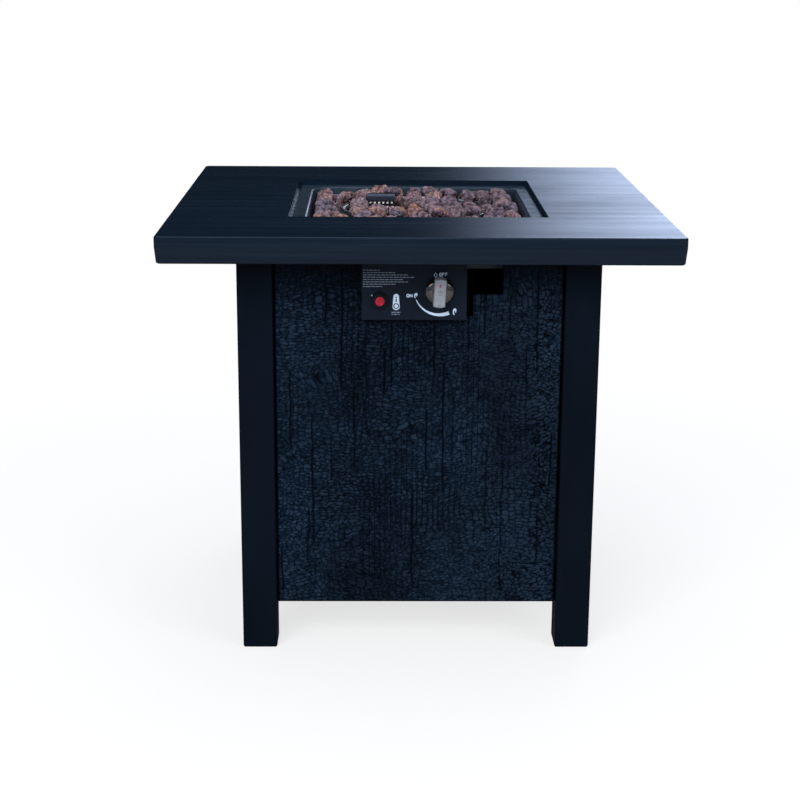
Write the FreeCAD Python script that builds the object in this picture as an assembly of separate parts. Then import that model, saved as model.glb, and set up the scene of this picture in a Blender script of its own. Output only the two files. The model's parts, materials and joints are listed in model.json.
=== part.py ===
import FreeCAD, Part
import math
import os
import random

V = FreeCAD.Vector
X, Y, Z = V(1, 0, 0), V(0, 1, 0), V(0, 0, 1)

# All sizes are in millimetres. The origin is on the floor under the middle of the table.
# The control plate is on the front, towards -Y, and the door is on the back.

# Table as a whole
table_side = 711.0
table_height = 630.0

# Cast slab with a square opening
slab_edge = 37.0
slab_skin = 16.0
slab_skirt = 22.0
slab_draft = 2.0
slab_corner = 8.0
slab_edge_round = 2.5
slab_rib = 12.0
slab_field_past_legs = 7.0
opening_side = 371.0
opening_corner = 3.0
seat_depth = 8.0
ledge_width = 15.0

# Square tube legs and their plastic feet
leg_span = 510.0
leg_side = 50.0
leg_wall = 1.5
leg_corner = 2.5
foot_pad = 2.0
foot_plug = 18.0
foot_clearance = 0.1

# Folded steel rails between the legs
rail_gauge = 2.0
rail_flange = 30.0
top_rail_drop = 18.0
bottom_rail_rise = 30.0
tab_width = 25.0
tab_drop = 22.0

# Textured panels
panel_thick = 6.0
panel_recess = 10.0
panel_side_gap = 2.0
panel_top_gap = 3.0
panel_bottom = 68.0

# Cut-outs at the top edge of the front panel
cutout_left = -72.0
cutout_right = 76.0
cutout_depth = 93.5
notch_right = 117.5
notch_depth = 63.0

# Fasteners
bolt_radius = 3.0
bolt_head_flats = 10.0
bolt_head_height = 4.5
bolt_length = 13.0
screw_radius = 2.0
screw_head_radius = 3.6
screw_head_height = 2.2
screw_bite = 4.0
hole_clearance = 0.2
thread_clearance = 0.05
boss_wall = 2.5
boss_length = 7.0

# Burner pan
pan_gauge = 1.2
pan_edge_gap = 5.0
pan_flange_width = 19.0
pan_taper = 6.5
pan_depth = 50.0
pan_corner = 36.0
pan_lip_round = 4.0
pan_floor_round = 8.0
drain_radius = 3.0
drain_offset = 125.0

# Ring burner
ring_radius = 113.0
ring_tube_radius = 7.0
ring_below_flange = 14.0
port_count = 40
port_radius = 1.3
port_depth = 2.0
spoke_radius = 6.0
hub_radius = 12.0
hub_collar_radius = 17.0
hub_collar_height = 4.0
nipple_radius = 10.0
nipple_drop = 26.0
locknut_flats = 27.0
locknut_height = 7.0

# Gas pipe from the valve to the burner, beside the valve towards the igniter
pipe_radius = 4.75
pipe_run_out = 32.0
pipe_bow = 5.0
pipe_rise = 0.5
elbow_radius = 12.0
elbow_below_pan = 34.0
elbow_reach = 24.0
elbow_branch_radius = 7.0
elbow_wall = 1.5
elbow_bead = 1.5
elbow_socket = 6.0
union_flats = 17.0
union_length = 10.0

# Flame sensor and spark electrode under a perforated guard
guard_x = -53.0
guard_y = 52.0
guard_length = 42.0
guard_radius = 10.5
guard_gauge = 0.8
guard_above_ring = 17.0
guard_foot = 5.0
guard_hole_radius = 1.7
guard_hole_pitch = 6.6
guard_holes_along = 6
guard_hole_rows = 3
guard_first_row = 2.6
sensor_spacing = 14.0
sensor_plate_gauge = 1.5
sensor_plate_height = 33.0
electrode_radius = 3.5
electrode_post = 22.0
electrode_wire = 29.0
electrode_below_strap = 14.0
spark_gap_reach = 6.0
probe_body = 20.0
probe_reach = 26.0
probe_below_strap = 12.0
post_collar = 1.2
spark_rod_radius = 1.1
probe_radius = 2.8
lead_hole_radius = 12.0
ignition_lead_radius = 1.8
probe_lead_radius = 1.2
lead_gap = 0.3

# Heat shield under the pan
shield_behind_leg_face = 105.0
shield_gauge = 1.0
shield_gap = 15.0
shield_fold = 8.0
shield_hole_radius = 20.0
spacer_offset = 105.0
spacer_radius = 5.0
stud_radius = 2.5
stud_length = 7.0
shield_nut_flats = 8.0
shield_nut_height = 4.0

# Shelf for the gas cylinder, with its clamp screw
shelf_gauge = 1.2
shelf_gap = 1.0
seat_hole_radius = 120.0
seat_rim_height = 14.0
vent_slot_length = 44.0
vent_slot_width = 6.0
vent_slot_corner = 2.9
vent_slot_pitch = 14.0
vent_slots = 4
vent_shift = 8.0
clamp_radius = 4.0
clamp_boss_radius = 7.5
clamp_boss_length = 10.0
clamp_travel = 18.0
clamp_wing_span = 30.0
clamp_wing_thick = 5.0
clamp_wing_length = 16.0

# Control plate
plate_left = -80.3
plate_right = 66.7
plate_below_slab = 97.0
plate_gauge = 1.5
plate_proud = 2.0
plate_return = 9.0
plate_top_gap = 3.0
plate_tab_height = 14.0

# Gas valve and its knob
knob_x = 28.1
knob_below_slab = 54.1
knob_radius = 20.2
knob_gap = 3.8
knob_skirt = 4.0
knob_dome = 4.5
knob_wall = 2.6
knob_hub_radius = 7.0
grip_width = 16.6
grip_height = 13.5
grip_round = 2.0
grip_turn = 3.0
push_travel = 3.0
stem_radius = 4.0
stem_length = 36.0
plunger_radius = 2.0
plunger_length = 14.0
stem_hole_radius = 6.0
valve_width = 32.0
valve_height = 34.0
valve_depth = 36.0
valve_ear_span = 26.0
valve_ear_thick = 3.0
valve_ear_width = 14.0
valve_ear_round = 6.0
valve_neck_radius = 11.0
valve_neck_length = 12.0
valve_round = 4.0
magnet_radius = 10.0
magnet_length = 20.0
lead_nut_flats = 10.0
lead_nut_length = 6.0
outlet_rise = 2.0
outlet_boss_radius = 8.0
outlet_boss_length = 6.0
inlet_radius = 7.94
inlet_length = 14.0
inlet_bite = 5.0
inlet_cone = 5.0
inlet_bore = 3.2
inlet_hex_flats = 19.0
inlet_hex_length = 8.0
inlet_behind_front = 36.0

# Push-button igniter
igniter_x = -55.0
igniter_below_slab = 68.3
bezel_radius = 12.3
bezel_thick = 2.5
barrel_radius = 10.5
barrel_length = 54.0
cap_radius = 10.2
cap_thick = 5.0
cap_spigot_radius = 7.9
cap_spigot_length = 9.5
cap_round = 1.2
button_radius = 6.5
button_proud = 4.0
button_travel = 3.0
button_collar = 0.7
button_collar_length = 3.9
button_seat = 1.8
button_stem = 4.0
dish_radius = 14.0
dish_depth = 0.7
button_clearance = 0.15
igniter_nut_flats = 26.0
igniter_nut_thick = 5.0
battery_radius = 5.2
battery_length = 44.5
battery_nub_radius = 1.9
battery_nub_length = 0.8
battery_clearance = 0.3
contact_thick = 0.4
terminal_radius = 1.2
terminal_length = 4.0

# Door on the back
door_gap = 0.3
door_bottom_lift = 3.0
door_top_drop = 4.0
pivot_from_edge = 8.0
pivot_from_face = 4.0
pin_radius = 2.5
pin_clearance = 0.06
strap_width = 18.0
strap_gauge = 2.0
strap_height = 40.0
hinge_plate_gauge = 2.0
hinge_plate_out = 9.0
hinge_relief = 27.0
swing_clearance = 0.6
door_washer_radius = 6.0
door_washer_thick = 0.9
door_knob_radius = 14.0
door_knob_reach = 22.0
door_knob_neck = 6.0
door_knob_from_edge = 25.0
door_knob_above_panel = 262.0
catch_x = 150.0
catch_width = 46.0
catch_height = 13.0
catch_depth = 14.0
strike_thick = 1.1

# Lava rocks
rock_pitch = 28.5
rock_radius = 18.5
rock_gap = 0.4
rock_facets = 11
rock_jitter = 7.5
rock_sink = 4.0
rock_heap = 6.0
heap_pitch = 100.0
heap_x = 44.0
bare_ring_half = 52.0
base_rock_pitch = 44.0
base_rock_height = 21.0
rock_seed = 20

# Levels and faces that follow from the sizes above
slab_under = table_height - slab_edge
plate_bottom = slab_under - plate_below_slab
knob_z = slab_under - knob_below_slab
igniter_z = slab_under - igniter_below_slab
door_knob_z = panel_bottom + door_knob_above_panel
pan_mouth = opening_side - 2 * pan_edge_gap - 2 * pan_flange_width
pan_floor_side = pan_mouth - 2 * pan_taper
flange_top = table_height - seat_depth
pan_floor_top = flange_top - pan_depth + pan_gauge
pan_under = flange_top - pan_depth
ring_z = flange_top - ring_below_flange
leg_face = leg_span / 2
leg_inner = leg_face - leg_side
panel_face = leg_face - panel_recess
rail_face = panel_face - panel_thick
bolt_line = rail_face - rail_flange / 2
panel_half = leg_inner - panel_side_gap
panel_top = slab_under - panel_top_gap
plate_front = -(leg_face + plate_proud)
plate_back = plate_front + plate_gauge
shield_side = 2 * (leg_face - shield_behind_leg_face)
shield_top = pan_under - shield_gap
shield_under = shield_top - shield_gauge
elbow_z = pan_under - elbow_below_pan
shelf_under = panel_bottom + rail_gauge
shelf_top = shelf_under + shelf_gauge
guard_top = ring_z + guard_above_ring + guard_radius - ring_tube_radius
screw_z_top = slab_under - top_rail_drop / 2 - 1
screw_z_bottom = panel_bottom + 0.7 * bottom_rail_rise
screw_x = 150.0
shelf_screw_x = 120.0
top_screw_x = 120.0


def box(x0, x1, y0, y1, z0, z1):
    """A block between two corners."""
    return Part.makeBox(x1 - x0, y1 - y0, z1 - z0, V(x0, y0, z0))


def rod(radius, start, direction, length):
    """A round bar from start along direction."""
    return Part.makeCylinder(radius, length, start, direction)


def prism(points, direction):
    """A straight prism over a closed outline."""
    return Part.Face(Part.makePolygon(points + points[:1])).extrude(direction)


def hexagon(flats, start, direction, length):
    """A hexagonal bar, flats across, from start along direction."""
    corner = flats / math.sqrt(3)
    side = Z if abs(direction.z) < 0.5 else X
    other = direction.cross(side)
    points = []
    for step in range(6):
        angle = math.radians(60 * step)
        points.append(start + side * (corner * math.cos(angle)) + other * (corner * math.sin(angle)))
    return prism(points, direction * length)


def rounded_loop(half_x, half_y, radius, z):
    """A rectangle with round corners, as a wire at one height."""
    edges = []
    corners = [(1, 1, 0), (-1, 1, 90), (-1, -1, 180), (1, -1, 270)]
    ends = []
    for sign_x, sign_y, start in corners:
        middle = V(sign_x * (half_x - radius), sign_y * (half_y - radius), z)
        points = []
        for turn in (0, 45, 90):
            angle = math.radians(start + turn)
            points.append(middle + V(radius * math.cos(angle), radius * math.sin(angle), 0))
        ends.append(points)
    for number, points in enumerate(ends):
        edges.append(Part.Arc(*points).toShape())
        edges.append(Part.LineSegment(points[2], ends[(number + 1) % 4][0]).toShape())
    return Part.Wire(edges)


def rounded_plate(half_x, half_y, radius, z0, z1):
    """A plate with round corners."""
    return Part.Face(rounded_loop(half_x, half_y, radius, z0)).extrude(V(0, 0, z1 - z0))


def fillet(shape, radius, wanted):
    """The shape with a fillet on each edge whose middle passes the test."""
    edges = []
    for edge in shape.Edges:
        middle = edge.valueAt((edge.FirstParameter + edge.LastParameter) / 2)
        if wanted(edge, middle):
            edges.append(edge)
    return shape.makeFillet(radius, edges)


def turned(shape, quarter):
    """The shape turned about the table's middle by quarter turns."""
    copy = shape.copy()
    copy.rotate(V(0, 0, 0), Z, 90 * quarter)
    return copy


def fused(shapes):
    """One solid from touching shapes."""
    return shapes[0].multiFuse(shapes[1:]).removeSplitter()


def tube(points, radius):
    """A round tube along straight runs joined by tangent arcs, as large as the runs allow."""
    edges, radii, here = [], [], points[0]
    for before, corner, after in zip(points, points[1:], points[2:]):
        into = (corner - before).normalize()
        out = (after - corner).normalize()
        turn = into.getAngle(out)
        shorter = min((corner - before).Length, (after - corner).Length)
        cut = 0.45 * shorter
        bend = cut / math.tan(turn / 2)
        radii.append(round(bend, 1))
        start, end = corner - into * cut, corner + out * cut
        centre = corner + (out - into).normalize() * (bend / math.cos(turn / 2))
        middle = centre + (corner - centre).normalize() * bend
        edges.append(Part.LineSegment(here, start).toShape())
        edges.append(Part.Arc(start, middle, end).toShape())
        here = end
    edges.append(Part.LineSegment(here, points[-1]).toShape())
    path = Part.Wire(edges)
    section = Part.Wire(Part.makeCircle(radius, points[0], points[1] - points[0]))
    made = path.makePipeShell([section], True, False)
    length = path.Length
    share = made.Volume / (math.pi * radius * radius * length)
    print("tube radius", radius, "length", round(length, 1), "bends", radii, "share", round(share, 4))
    return made


def bolt(point, direction):
    """A flanged hex bolt whose seat is at point and whose shank runs along direction."""
    head = hexagon(bolt_head_flats, point, -direction, bolt_head_height)
    washer = rod(bolt_head_flats * 0.62, point, -direction, 1.2)
    return fused([head, washer, rod(bolt_radius, point, direction, bolt_length)])


def screw(point, direction, length):
    """A dome-head screw whose seat is at point and whose shank runs along direction."""
    head = Part.makeCone(screw_head_radius, screw_head_radius * 0.6, screw_head_height, point, -direction)
    return fused([head, rod(screw_radius, point, direction, length)])


def leg_bolt_spots():
    """Where each rail's end bolts sit, seen on the front side: point, direction."""
    spots = []
    for level in (slab_under - tab_drop / 2, panel_bottom + bottom_rail_rise / 2):
        for side in (-1, 1):
            spots.append((V(side * (leg_inner - rail_gauge), -bolt_line, level), V(side, 0, 0)))
    return spots


def tabletop():
    """Cast slab: drafted edges, a rebated square opening, and a hollow overhang with ribs."""
    half, low_half = table_side / 2, table_side / 2 - slab_draft
    rings = [
        rounded_loop(low_half, low_half, slab_corner, slab_under),
        rounded_loop(half, half, slab_corner, slab_under + slab_edge * 0.6),
        rounded_loop(half, half, slab_corner, table_height),
    ]
    slab = Part.makeLoft(rings[:2], True, True).fuse(Part.makeLoft(rings[1:], True, True)).removeSplitter()

    def flat_rim(edge, middle):
        level = edge.BoundBox.ZLength < 0.01
        return level and (abs(middle.z - table_height) < 0.01 or abs(middle.z - slab_under) < 0.01)

    slab = fillet(slab, slab_edge_round, flat_rim)
    ledge_top = flange_top - pan_gauge
    mouth = opening_side / 2
    slab = slab.cut(rounded_plate(mouth, mouth, opening_corner, ledge_top, table_height + 1))
    through = mouth - ledge_width
    slab = slab.cut(rounded_plate(through, through, pan_corner, slab_under - 1, ledge_top + 1))
    outer, inner = low_half - slab_skirt, leg_face + slab_field_past_legs
    pocket_top = table_height - slab_skin
    pocket = rounded_plate(outer, outer, slab_corner, slab_under - 1, pocket_top)
    pocket = pocket.cut(rounded_plate(inner, inner, slab_corner, slab_under - 2, pocket_top + 1))
    for quarter in range(4):
        for place in (-inner, 0, inner):
            left, right = place - slab_rib / 2, place + slab_rib / 2
            rib = box(left, right, inner - 1, outer + 1, slab_under - 2, pocket_top + 1)
            pocket = pocket.cut(turned(rib, quarter))
    slab = slab.cut(pocket)
    insert = bolt_radius + thread_clearance
    for spot, _ in top_screw_spots():
        slab = slab.cut(rod(insert, V(spot.x, spot.y, slab_under), Z, bolt_length - rail_gauge + 1))
    return slab.removeSplitter()


def top_screw_spots():
    """Where the bolts that hold the slab pass up through the top rails."""
    spots = []
    for quarter in range(4):
        for side in (-1, 1):
            spot = turned(Part.Vertex(V(side * top_screw_x, -bolt_line, slab_under - rail_gauge)), quarter)
            spots.append((spot.Point, Z))
    return spots


def leg():
    """The front left leg: a square tube with rivet nuts where the rails bolt on."""
    low, high = -leg_face, -leg_inner
    body = box(low, high, low, high, foot_pad, slab_under)
    body = fillet(body, leg_corner, lambda edge, middle: edge.BoundBox.ZLength > 1)
    hollow = box(low + leg_wall, high - leg_wall, low + leg_wall, high - leg_wall, foot_pad, slab_under)
    hollow = fillet(hollow, leg_corner - leg_wall, lambda edge, middle: edge.BoundBox.ZLength > 1)
    body = body.cut(hollow)
    bosses, holes = [], []
    for level in (slab_under - tab_drop / 2, panel_bottom + bottom_rail_rise / 2):
        for point, direction in (
            (V(high, -bolt_line, level), -X),
            (V(-bolt_line, high, level), -Y),
        ):
            start = point + direction * leg_wall / 2
            bosses.append(rod(bolt_radius + boss_wall, start, direction, boss_length))
            holes.append(rod(bolt_radius + thread_clearance, point - direction, direction, leg_side / 2))
    body = body.multiFuse(bosses)
    for hole in holes:
        body = body.cut(hole)
    return body.removeSplitter()


def foot():
    """The front left foot: a plastic plug with a pad that stands on the floor."""
    inset = leg_corner
    low, high = -leg_face, -leg_inner
    pad = box(low + 1, high - 1, low + 1, high - 1, 0, foot_pad)
    pad = fillet(pad, inset, lambda edge, middle: edge.BoundBox.ZLength > 1)
    wall = leg_wall + foot_clearance
    plug = box(low + wall, high - wall, low + wall, high - wall, foot_pad, foot_pad + foot_plug)
    plug = fillet(plug, inset - leg_wall, lambda edge, middle: edge.BoundBox.ZLength > 1)
    hollow = wall + boss_wall
    core_low, core_high = low + hollow, high - hollow
    core = box(core_low, core_high, core_low, core_high, foot_pad + boss_wall, foot_pad + foot_plug)
    return fused([pad, plug.cut(core)])


def rail(top, side):
    """A folded rail, made on the front side and turned to its own side later."""
    back = side == "back"
    face = rail_face - (door_gap if back else 0)
    if top:
        level = slab_under - rail_gauge
        upright = (slab_under - top_rail_drop, slab_under)
        tab = (slab_under - tab_drop, slab_under)
    else:
        level = panel_bottom
        upright = (panel_bottom, panel_bottom + bottom_rail_rise)
        tab = upright
    parts = [
        box(-leg_inner, leg_inner, -face, -face + rail_flange, level, level + rail_gauge),
        box(-leg_inner, leg_inner, -face, -face + rail_gauge, *upright),
    ]
    for end in (-1, 1):
        x0, x1 = sorted((end * leg_inner, end * (leg_inner - rail_gauge)))
        inner_y = -rail_face + rail_flange
        parts.append(box(x0, x1, inner_y - tab_width, inner_y, *tab))
    made = fused(parts)
    if back:
        made = made.cut(turned(hinge_room(), 2))
    for point, direction in leg_bolt_spots():
        made = made.cut(rod(bolt_radius + hole_clearance, point - direction, direction, 2 * rail_gauge))
    uprights = []
    if top:
        for end in (-1, 1):
            spot = V(end * top_screw_x, -bolt_line, level - 1)
            made = made.cut(rod(bolt_radius + hole_clearance, spot, Z, rail_gauge + 2))
    else:
        spot = shelf_screw_spots()[0] + Z
        made = made.cut(rod(screw_radius + thread_clearance, spot, -Z, shelf_gauge + rail_gauge + 2))
    if not back:
        height = screw_z_top if top else screw_z_bottom
        uprights += [V(-screw_x, 0, height), V(screw_x, 0, height)]
    if top and side == "front":
        uprights += plate_screw_spots()
    for point in uprights:
        start = V(point.x, -face - 1, point.z)
        made = made.cut(rod(screw_radius + hole_clearance, start, Y, rail_gauge + 2))
    return made


def hinge_room():
    """The room behind the door's hinged edge that its swing sweeps, on the back left."""
    pivot = door_pivot()
    sweep = math.hypot(pivot_from_edge, max(pivot_from_face, panel_thick + strap_gauge - pivot_from_face))
    inner = pivot.y - sweep - swing_clearance
    reach = -leg_inner + hinge_relief
    return box(-leg_inner - 1, reach, inner, panel_face + 1, 0, table_height)


def shelf_screw_spots():
    """Where the shelf is screwed down to the bottom rails."""
    first = Part.Vertex(V(shelf_screw_x, -bolt_line, shelf_top))
    return [turned(first, quarter).Point for quarter in range(4)]


def panel():
    """A plain textured board on the front side, with blind holes for its screws."""
    board = box(-panel_half, panel_half, -panel_face, -rail_face, panel_bottom, panel_top)
    for point in panel_screw_spots():
        board = board.cut(rod(screw_radius + thread_clearance, point, -Y, screw_bite + rail_gauge + 0.3))
    return board


def panel_screw_spots():
    """Screw seats on the inner face of the front rails."""
    spots = []
    for side in (-1, 1):
        for height in (screw_z_top, screw_z_bottom):
            spots.append(V(side * screw_x, -rail_face + rail_gauge, height))
    return spots


def front_panel():
    """The front board, cut open at its top edge for the controls and a finger notch."""
    y0, y1 = -panel_face - 1, -rail_face + 1
    board = panel()
    board = board.cut(box(cutout_left, cutout_right, y0, y1, slab_under - cutout_depth, slab_under))
    return board.cut(box(cutout_right - 1, notch_right, y0, y1, slab_under - notch_depth, slab_under))


def burner_pan():
    """Pressed square pan with tapered walls, round corners and a flange that hangs on the ledge."""
    floor_half, mouth_half = pan_floor_side / 2, pan_mouth / 2
    floor_corner = pan_corner - (mouth_half - floor_half)

    def tub(offset, bottom, top):
        slope = (mouth_half - floor_half) / pan_depth
        low = floor_half + offset + slope * (bottom - pan_under)
        high = floor_half + offset + slope * (top - pan_under)
        rings = [
            rounded_loop(low, low, floor_corner + offset, bottom),
            rounded_loop(high, high, pan_corner + offset, top),
        ]
        return Part.makeLoft(rings, True, True)

    def bottom_rim(edge, middle):
        return edge.BoundBox.ZLength < 0.01 and middle.z < pan_under + 2 * pan_gauge

    outer = fillet(tub(pan_gauge, pan_under, flange_top), pan_floor_round + pan_gauge, bottom_rim)
    inner = fillet(tub(0, pan_floor_top, flange_top), pan_floor_round, bottom_rim)
    flange_half = opening_side / 2 - pan_edge_gap
    flange = rounded_plate(flange_half, flange_half, opening_corner, flange_top - pan_gauge, flange_top)
    pan = flange.fuse(outer).removeSplitter()

    def under_flange(edge, middle):
        low = abs(middle.z - flange_top + pan_gauge) < 0.01 and edge.BoundBox.ZLength < 0.01
        return low and max(abs(middle.x), abs(middle.y)) < flange_half - 1

    def lip(edge, middle):
        high = abs(middle.z - flange_top) < 0.01 and edge.BoundBox.ZLength < 0.01
        return high and max(abs(middle.x), abs(middle.y)) < flange_half - 1

    pan = fillet(pan, pan_lip_round + pan_gauge, under_flange)
    over = rounded_plate(flange_half, flange_half, opening_corner, flange_top, flange_top + seat_depth)
    pan = pan.cut(fillet(inner.fuse(over).removeSplitter(), pan_lip_round, lip))
    holes = [(nipple_radius + hole_clearance, 0, 0), (lead_hole_radius, guard_x, guard_y)]
    for side_x in (-1, 1):
        for side_y in (-1, 1):
            holes.append((drain_radius, side_x * drain_offset, side_y * drain_offset))
    for radius, x, y in holes:
        pan = pan.cut(rod(radius, V(x, y, pan_under - 1), Z, 2 * pan_gauge + 2))
    return pan


def ring_burner():
    """Stainless ring with ports on top, fed by spokes from a hub that passes through the pan."""
    ring = Part.makeTorus(ring_radius, ring_tube_radius, V(0, 0, ring_z), Z)
    spoke = rod(spoke_radius, V(0, -ring_radius, ring_z), Y, 2 * ring_radius)
    hub = rod(hub_radius, V(0, 0, pan_floor_top), Z, ring_z + spoke_radius + 2 - pan_floor_top)
    collar = rod(hub_collar_radius, V(0, 0, pan_floor_top), Z, hub_collar_height)
    nipple = rod(nipple_radius, V(0, 0, pan_under - nipple_drop), Z, nipple_drop + pan_gauge + 1)
    made = fused([ring, spoke, hub, collar, nipple])
    ports = []
    for number in range(port_count):
        angle = 2 * math.pi * (number + 0.5) / port_count
        out = V(math.cos(angle), math.sin(angle), 0)
        place = out * ring_radius + Z * (ring_z + ring_tube_radius - port_depth)
        ports.append(rod(port_radius, place, Z, port_depth + 1))
    return made.cut(Part.makeCompound(ports))


def burner_locknut():
    """Hex nut that pulls the burner down on the pan."""
    body = hexagon(locknut_flats, V(0, 0, pan_under), -Z, locknut_height)
    return body.cut(rod(nipple_radius + thread_clearance, V(0, 0, pan_under + 1), -Z, locknut_height + 2))


def gas_elbow():
    """Brass elbow screwed on the nipple, with the union nut of the gas pipe."""
    seat = pan_under - nipple_drop
    base = elbow_z - elbow_branch_radius - elbow_wall
    bore = nipple_radius + thread_clearance
    rim = elbow_radius + elbow_bead
    outline = [
        V(0, 0, base),
        V(elbow_radius, 0, base),
        V(elbow_radius, 0, seat - 1),
        V(rim, 0, seat - 1),
        V(rim, 0, seat + elbow_socket),
        V(bore, 0, seat + elbow_socket),
        V(bore, 0, seat),
        V(0, 0, seat),
    ]
    body = Part.Face(Part.makePolygon(outline + outline[:1])).revolve(V(0, 0, 0), Z, 360)
    branch = rod(elbow_branch_radius, V(0, 0, elbow_z), -Y, elbow_reach + 1)
    nut = hexagon(union_flats, V(0, -elbow_reach, elbow_z), -Y, union_length)
    mouth = V(0, -elbow_reach - union_length - 1, elbow_z)
    return fused([body, branch, nut]).cut(rod(pipe_radius + thread_clearance, mouth, Y, union_length))


def gas_pipe():
    """Bent aluminium pipe from the valve's outlet to the elbow under the pan."""
    outlet = outlet_point()
    entry = V(0, -elbow_reach - union_length + 1, elbow_z)
    far = outlet.x - pipe_run_out
    points = [
        outlet - X * (union_length - 1),
        V(far, outlet.y, outlet.z),
        V(far - pipe_bow, between(outlet.y, entry.y, 0.27), outlet.z + pipe_rise),
        V(far * 0.7, between(outlet.y, entry.y, 0.56), elbow_z + pipe_rise),
        V(0, between(outlet.y, entry.y, 0.77), elbow_z),
        entry,
    ]
    return tube(points, pipe_radius)


def between(start, end, share):
    """A value part of the way from start to end."""
    return start + (end - start) * share


def outlet_point():
    """The end of the valve's outlet boss, where the union nut starts."""
    behind = plate_back + valve_ear_thick + valve_depth * 0.7
    return V(knob_x - valve_width / 2 - outlet_boss_length, behind, knob_z + outlet_rise)


def arch(radius, length, straight):
    """A bar along X with a half round top, its round centre at the origin."""
    edges = [
        Part.Arc(V(0, -radius, 0), V(0, 0, radius), V(0, radius, 0)).toShape(),
        Part.LineSegment(V(0, radius, 0), V(0, radius, -straight)).toShape(),
        Part.LineSegment(V(0, radius, -straight), V(0, -radius, -straight)).toShape(),
        Part.LineSegment(V(0, -radius, -straight), V(0, -radius, 0)).toShape(),
    ]
    solid = Part.Face(Part.Wire(edges)).extrude(V(length, 0, 0))
    solid.translate(V(-length / 2, 0, 0))
    return solid


def pilot_guard():
    """Perforated hood over the spark electrode and the flame sensor."""
    centre_z = guard_top - guard_radius
    straight = centre_z - pan_floor_top
    shell = arch(guard_radius, guard_length, straight)
    shell = shell.cut(arch(guard_radius - guard_gauge, guard_length + 2, straight + 1))
    feet = []
    for side in (-1, 1):
        y0, y1 = sorted((side * (guard_radius - guard_gauge), side * (guard_radius + guard_foot)))
        feet.append(box(-guard_length / 2, guard_length / 2, y0, y1, -straight, -straight + guard_gauge))
    shell = fused([shell] + feet)
    holes = []
    for number in range(guard_holes_along):
        x = (number - (guard_holes_along - 1) / 2) * guard_hole_pitch
        for row in range(guard_hole_rows):
            place = V(x, -guard_radius - 1, -guard_first_row - row * guard_hole_pitch)
            holes.append(rod(guard_hole_radius, place, Y, 2 * guard_radius + 2))
    shell = shell.cut(Part.makeCompound(holes))
    shell.translate(V(guard_x, guard_y, centre_z))
    return shell


def sensor_points():
    """Where the electrode and the sensor stand: x of each."""
    return guard_x - sensor_spacing / 2, guard_x + sensor_spacing / 2


def sensor_bracket():
    """Folded strap on the pan's floor that holds the electrode and the sensor upright."""
    half = guard_length / 2 - 1
    depth = guard_radius - guard_gauge - 1
    high = pan_floor_top + sensor_plate_height
    y0, y1 = guard_y - depth, guard_y + depth
    strap = [box(guard_x - half, guard_x + half, y0, y1, high - sensor_plate_gauge, high)]
    for side in (-1, 1):
        x0, x1 = sorted((guard_x + side * half, guard_x + side * (half - sensor_plate_gauge)))
        strap.append(box(x0, x1, y0, y1, pan_floor_top, high))
    made = fused(strap)
    for x, radius in zip(sensor_points(), (electrode_radius, probe_radius)):
        low = V(x, guard_y, pan_floor_top)
        made = made.cut(rod(radius + thread_clearance, low, Z, sensor_plate_height + 1))
    return made


def spark_electrode():
    """Ceramic post with a wire that points at the sensor."""
    x = sensor_points()[0]
    strap = pan_floor_top + sensor_plate_height
    low = strap - electrode_below_strap
    post = rod(electrode_radius, V(x, guard_y, low), Z, electrode_post)
    collar = rod(electrode_radius + post_collar, V(x, guard_y, strap), Z, 2)
    wire = rod(spark_rod_radius, V(x, guard_y, low), Z, electrode_wire)
    tip_start = V(x - spark_rod_radius, guard_y, low + electrode_wire - spark_rod_radius)
    tip = rod(spark_rod_radius, tip_start, X, spark_gap_reach)
    return fused([post, collar, wire, tip])


def flame_sensor():
    """Thermocouple probe with a round tip."""
    x = sensor_points()[1]
    strap = pan_floor_top + sensor_plate_height
    low = strap - probe_below_strap
    body = rod(probe_radius, V(x, guard_y, low), Z, probe_body)
    collar = rod(probe_radius + post_collar, V(x, guard_y, strap), Z, 2)
    tip = rod(probe_radius * 0.7, V(x, guard_y, low), Z, probe_reach)
    return fused([body, collar, tip])


def ignition_lead():
    """Insulated spark lead from the igniter over the heat shield to the electrode."""
    x = sensor_points()[0]
    low = pan_floor_top + sensor_plate_height - electrode_below_strap
    lie = shield_top + ignition_lead_radius + lead_gap
    front = -shield_side / 2
    rear = barrel_rear() + terminal_length
    points = [V(x, guard_y, low), V(x, guard_y, lie)]
    for share, sway in ((0.19, -1), (0.42, -5), (0.64, -3), (0.87, 1)):
        points.append(V(x + sway, between(guard_y, front, share), lie))
    points += [
        V(igniter_x, between(front, rear, 0.37), lie),
        V(igniter_x, between(front, rear, 0.49), igniter_z),
        V(igniter_x, rear, igniter_z),
    ]
    return tube(points, ignition_lead_radius)


def sensor_lead():
    """Copper capillary from the flame sensor over the heat shield to the valve's magnet unit."""
    x = sensor_points()[1]
    low = pan_floor_top + sensor_plate_height - probe_below_strap
    lie = shield_top + probe_lead_radius + lead_gap
    front = -shield_side / 2
    rear = magnet_rear() + lead_nut_length - 1
    points = [V(x, guard_y, low), V(x, guard_y, lie)]
    for share, across in ((0.17, 0.08), (0.34, 0.40), (0.52, 0.70), (0.70, 0.89)):
        points.append(V(between(x, knob_x, across), between(guard_y, front, share), lie))
    points += [
        V(knob_x, between(front, rear, 0.24), lie),
        V(knob_x, between(front, rear, 0.67), knob_z),
        V(knob_x, rear, knob_z),
    ]
    return tube(points, probe_lead_radius)


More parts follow.
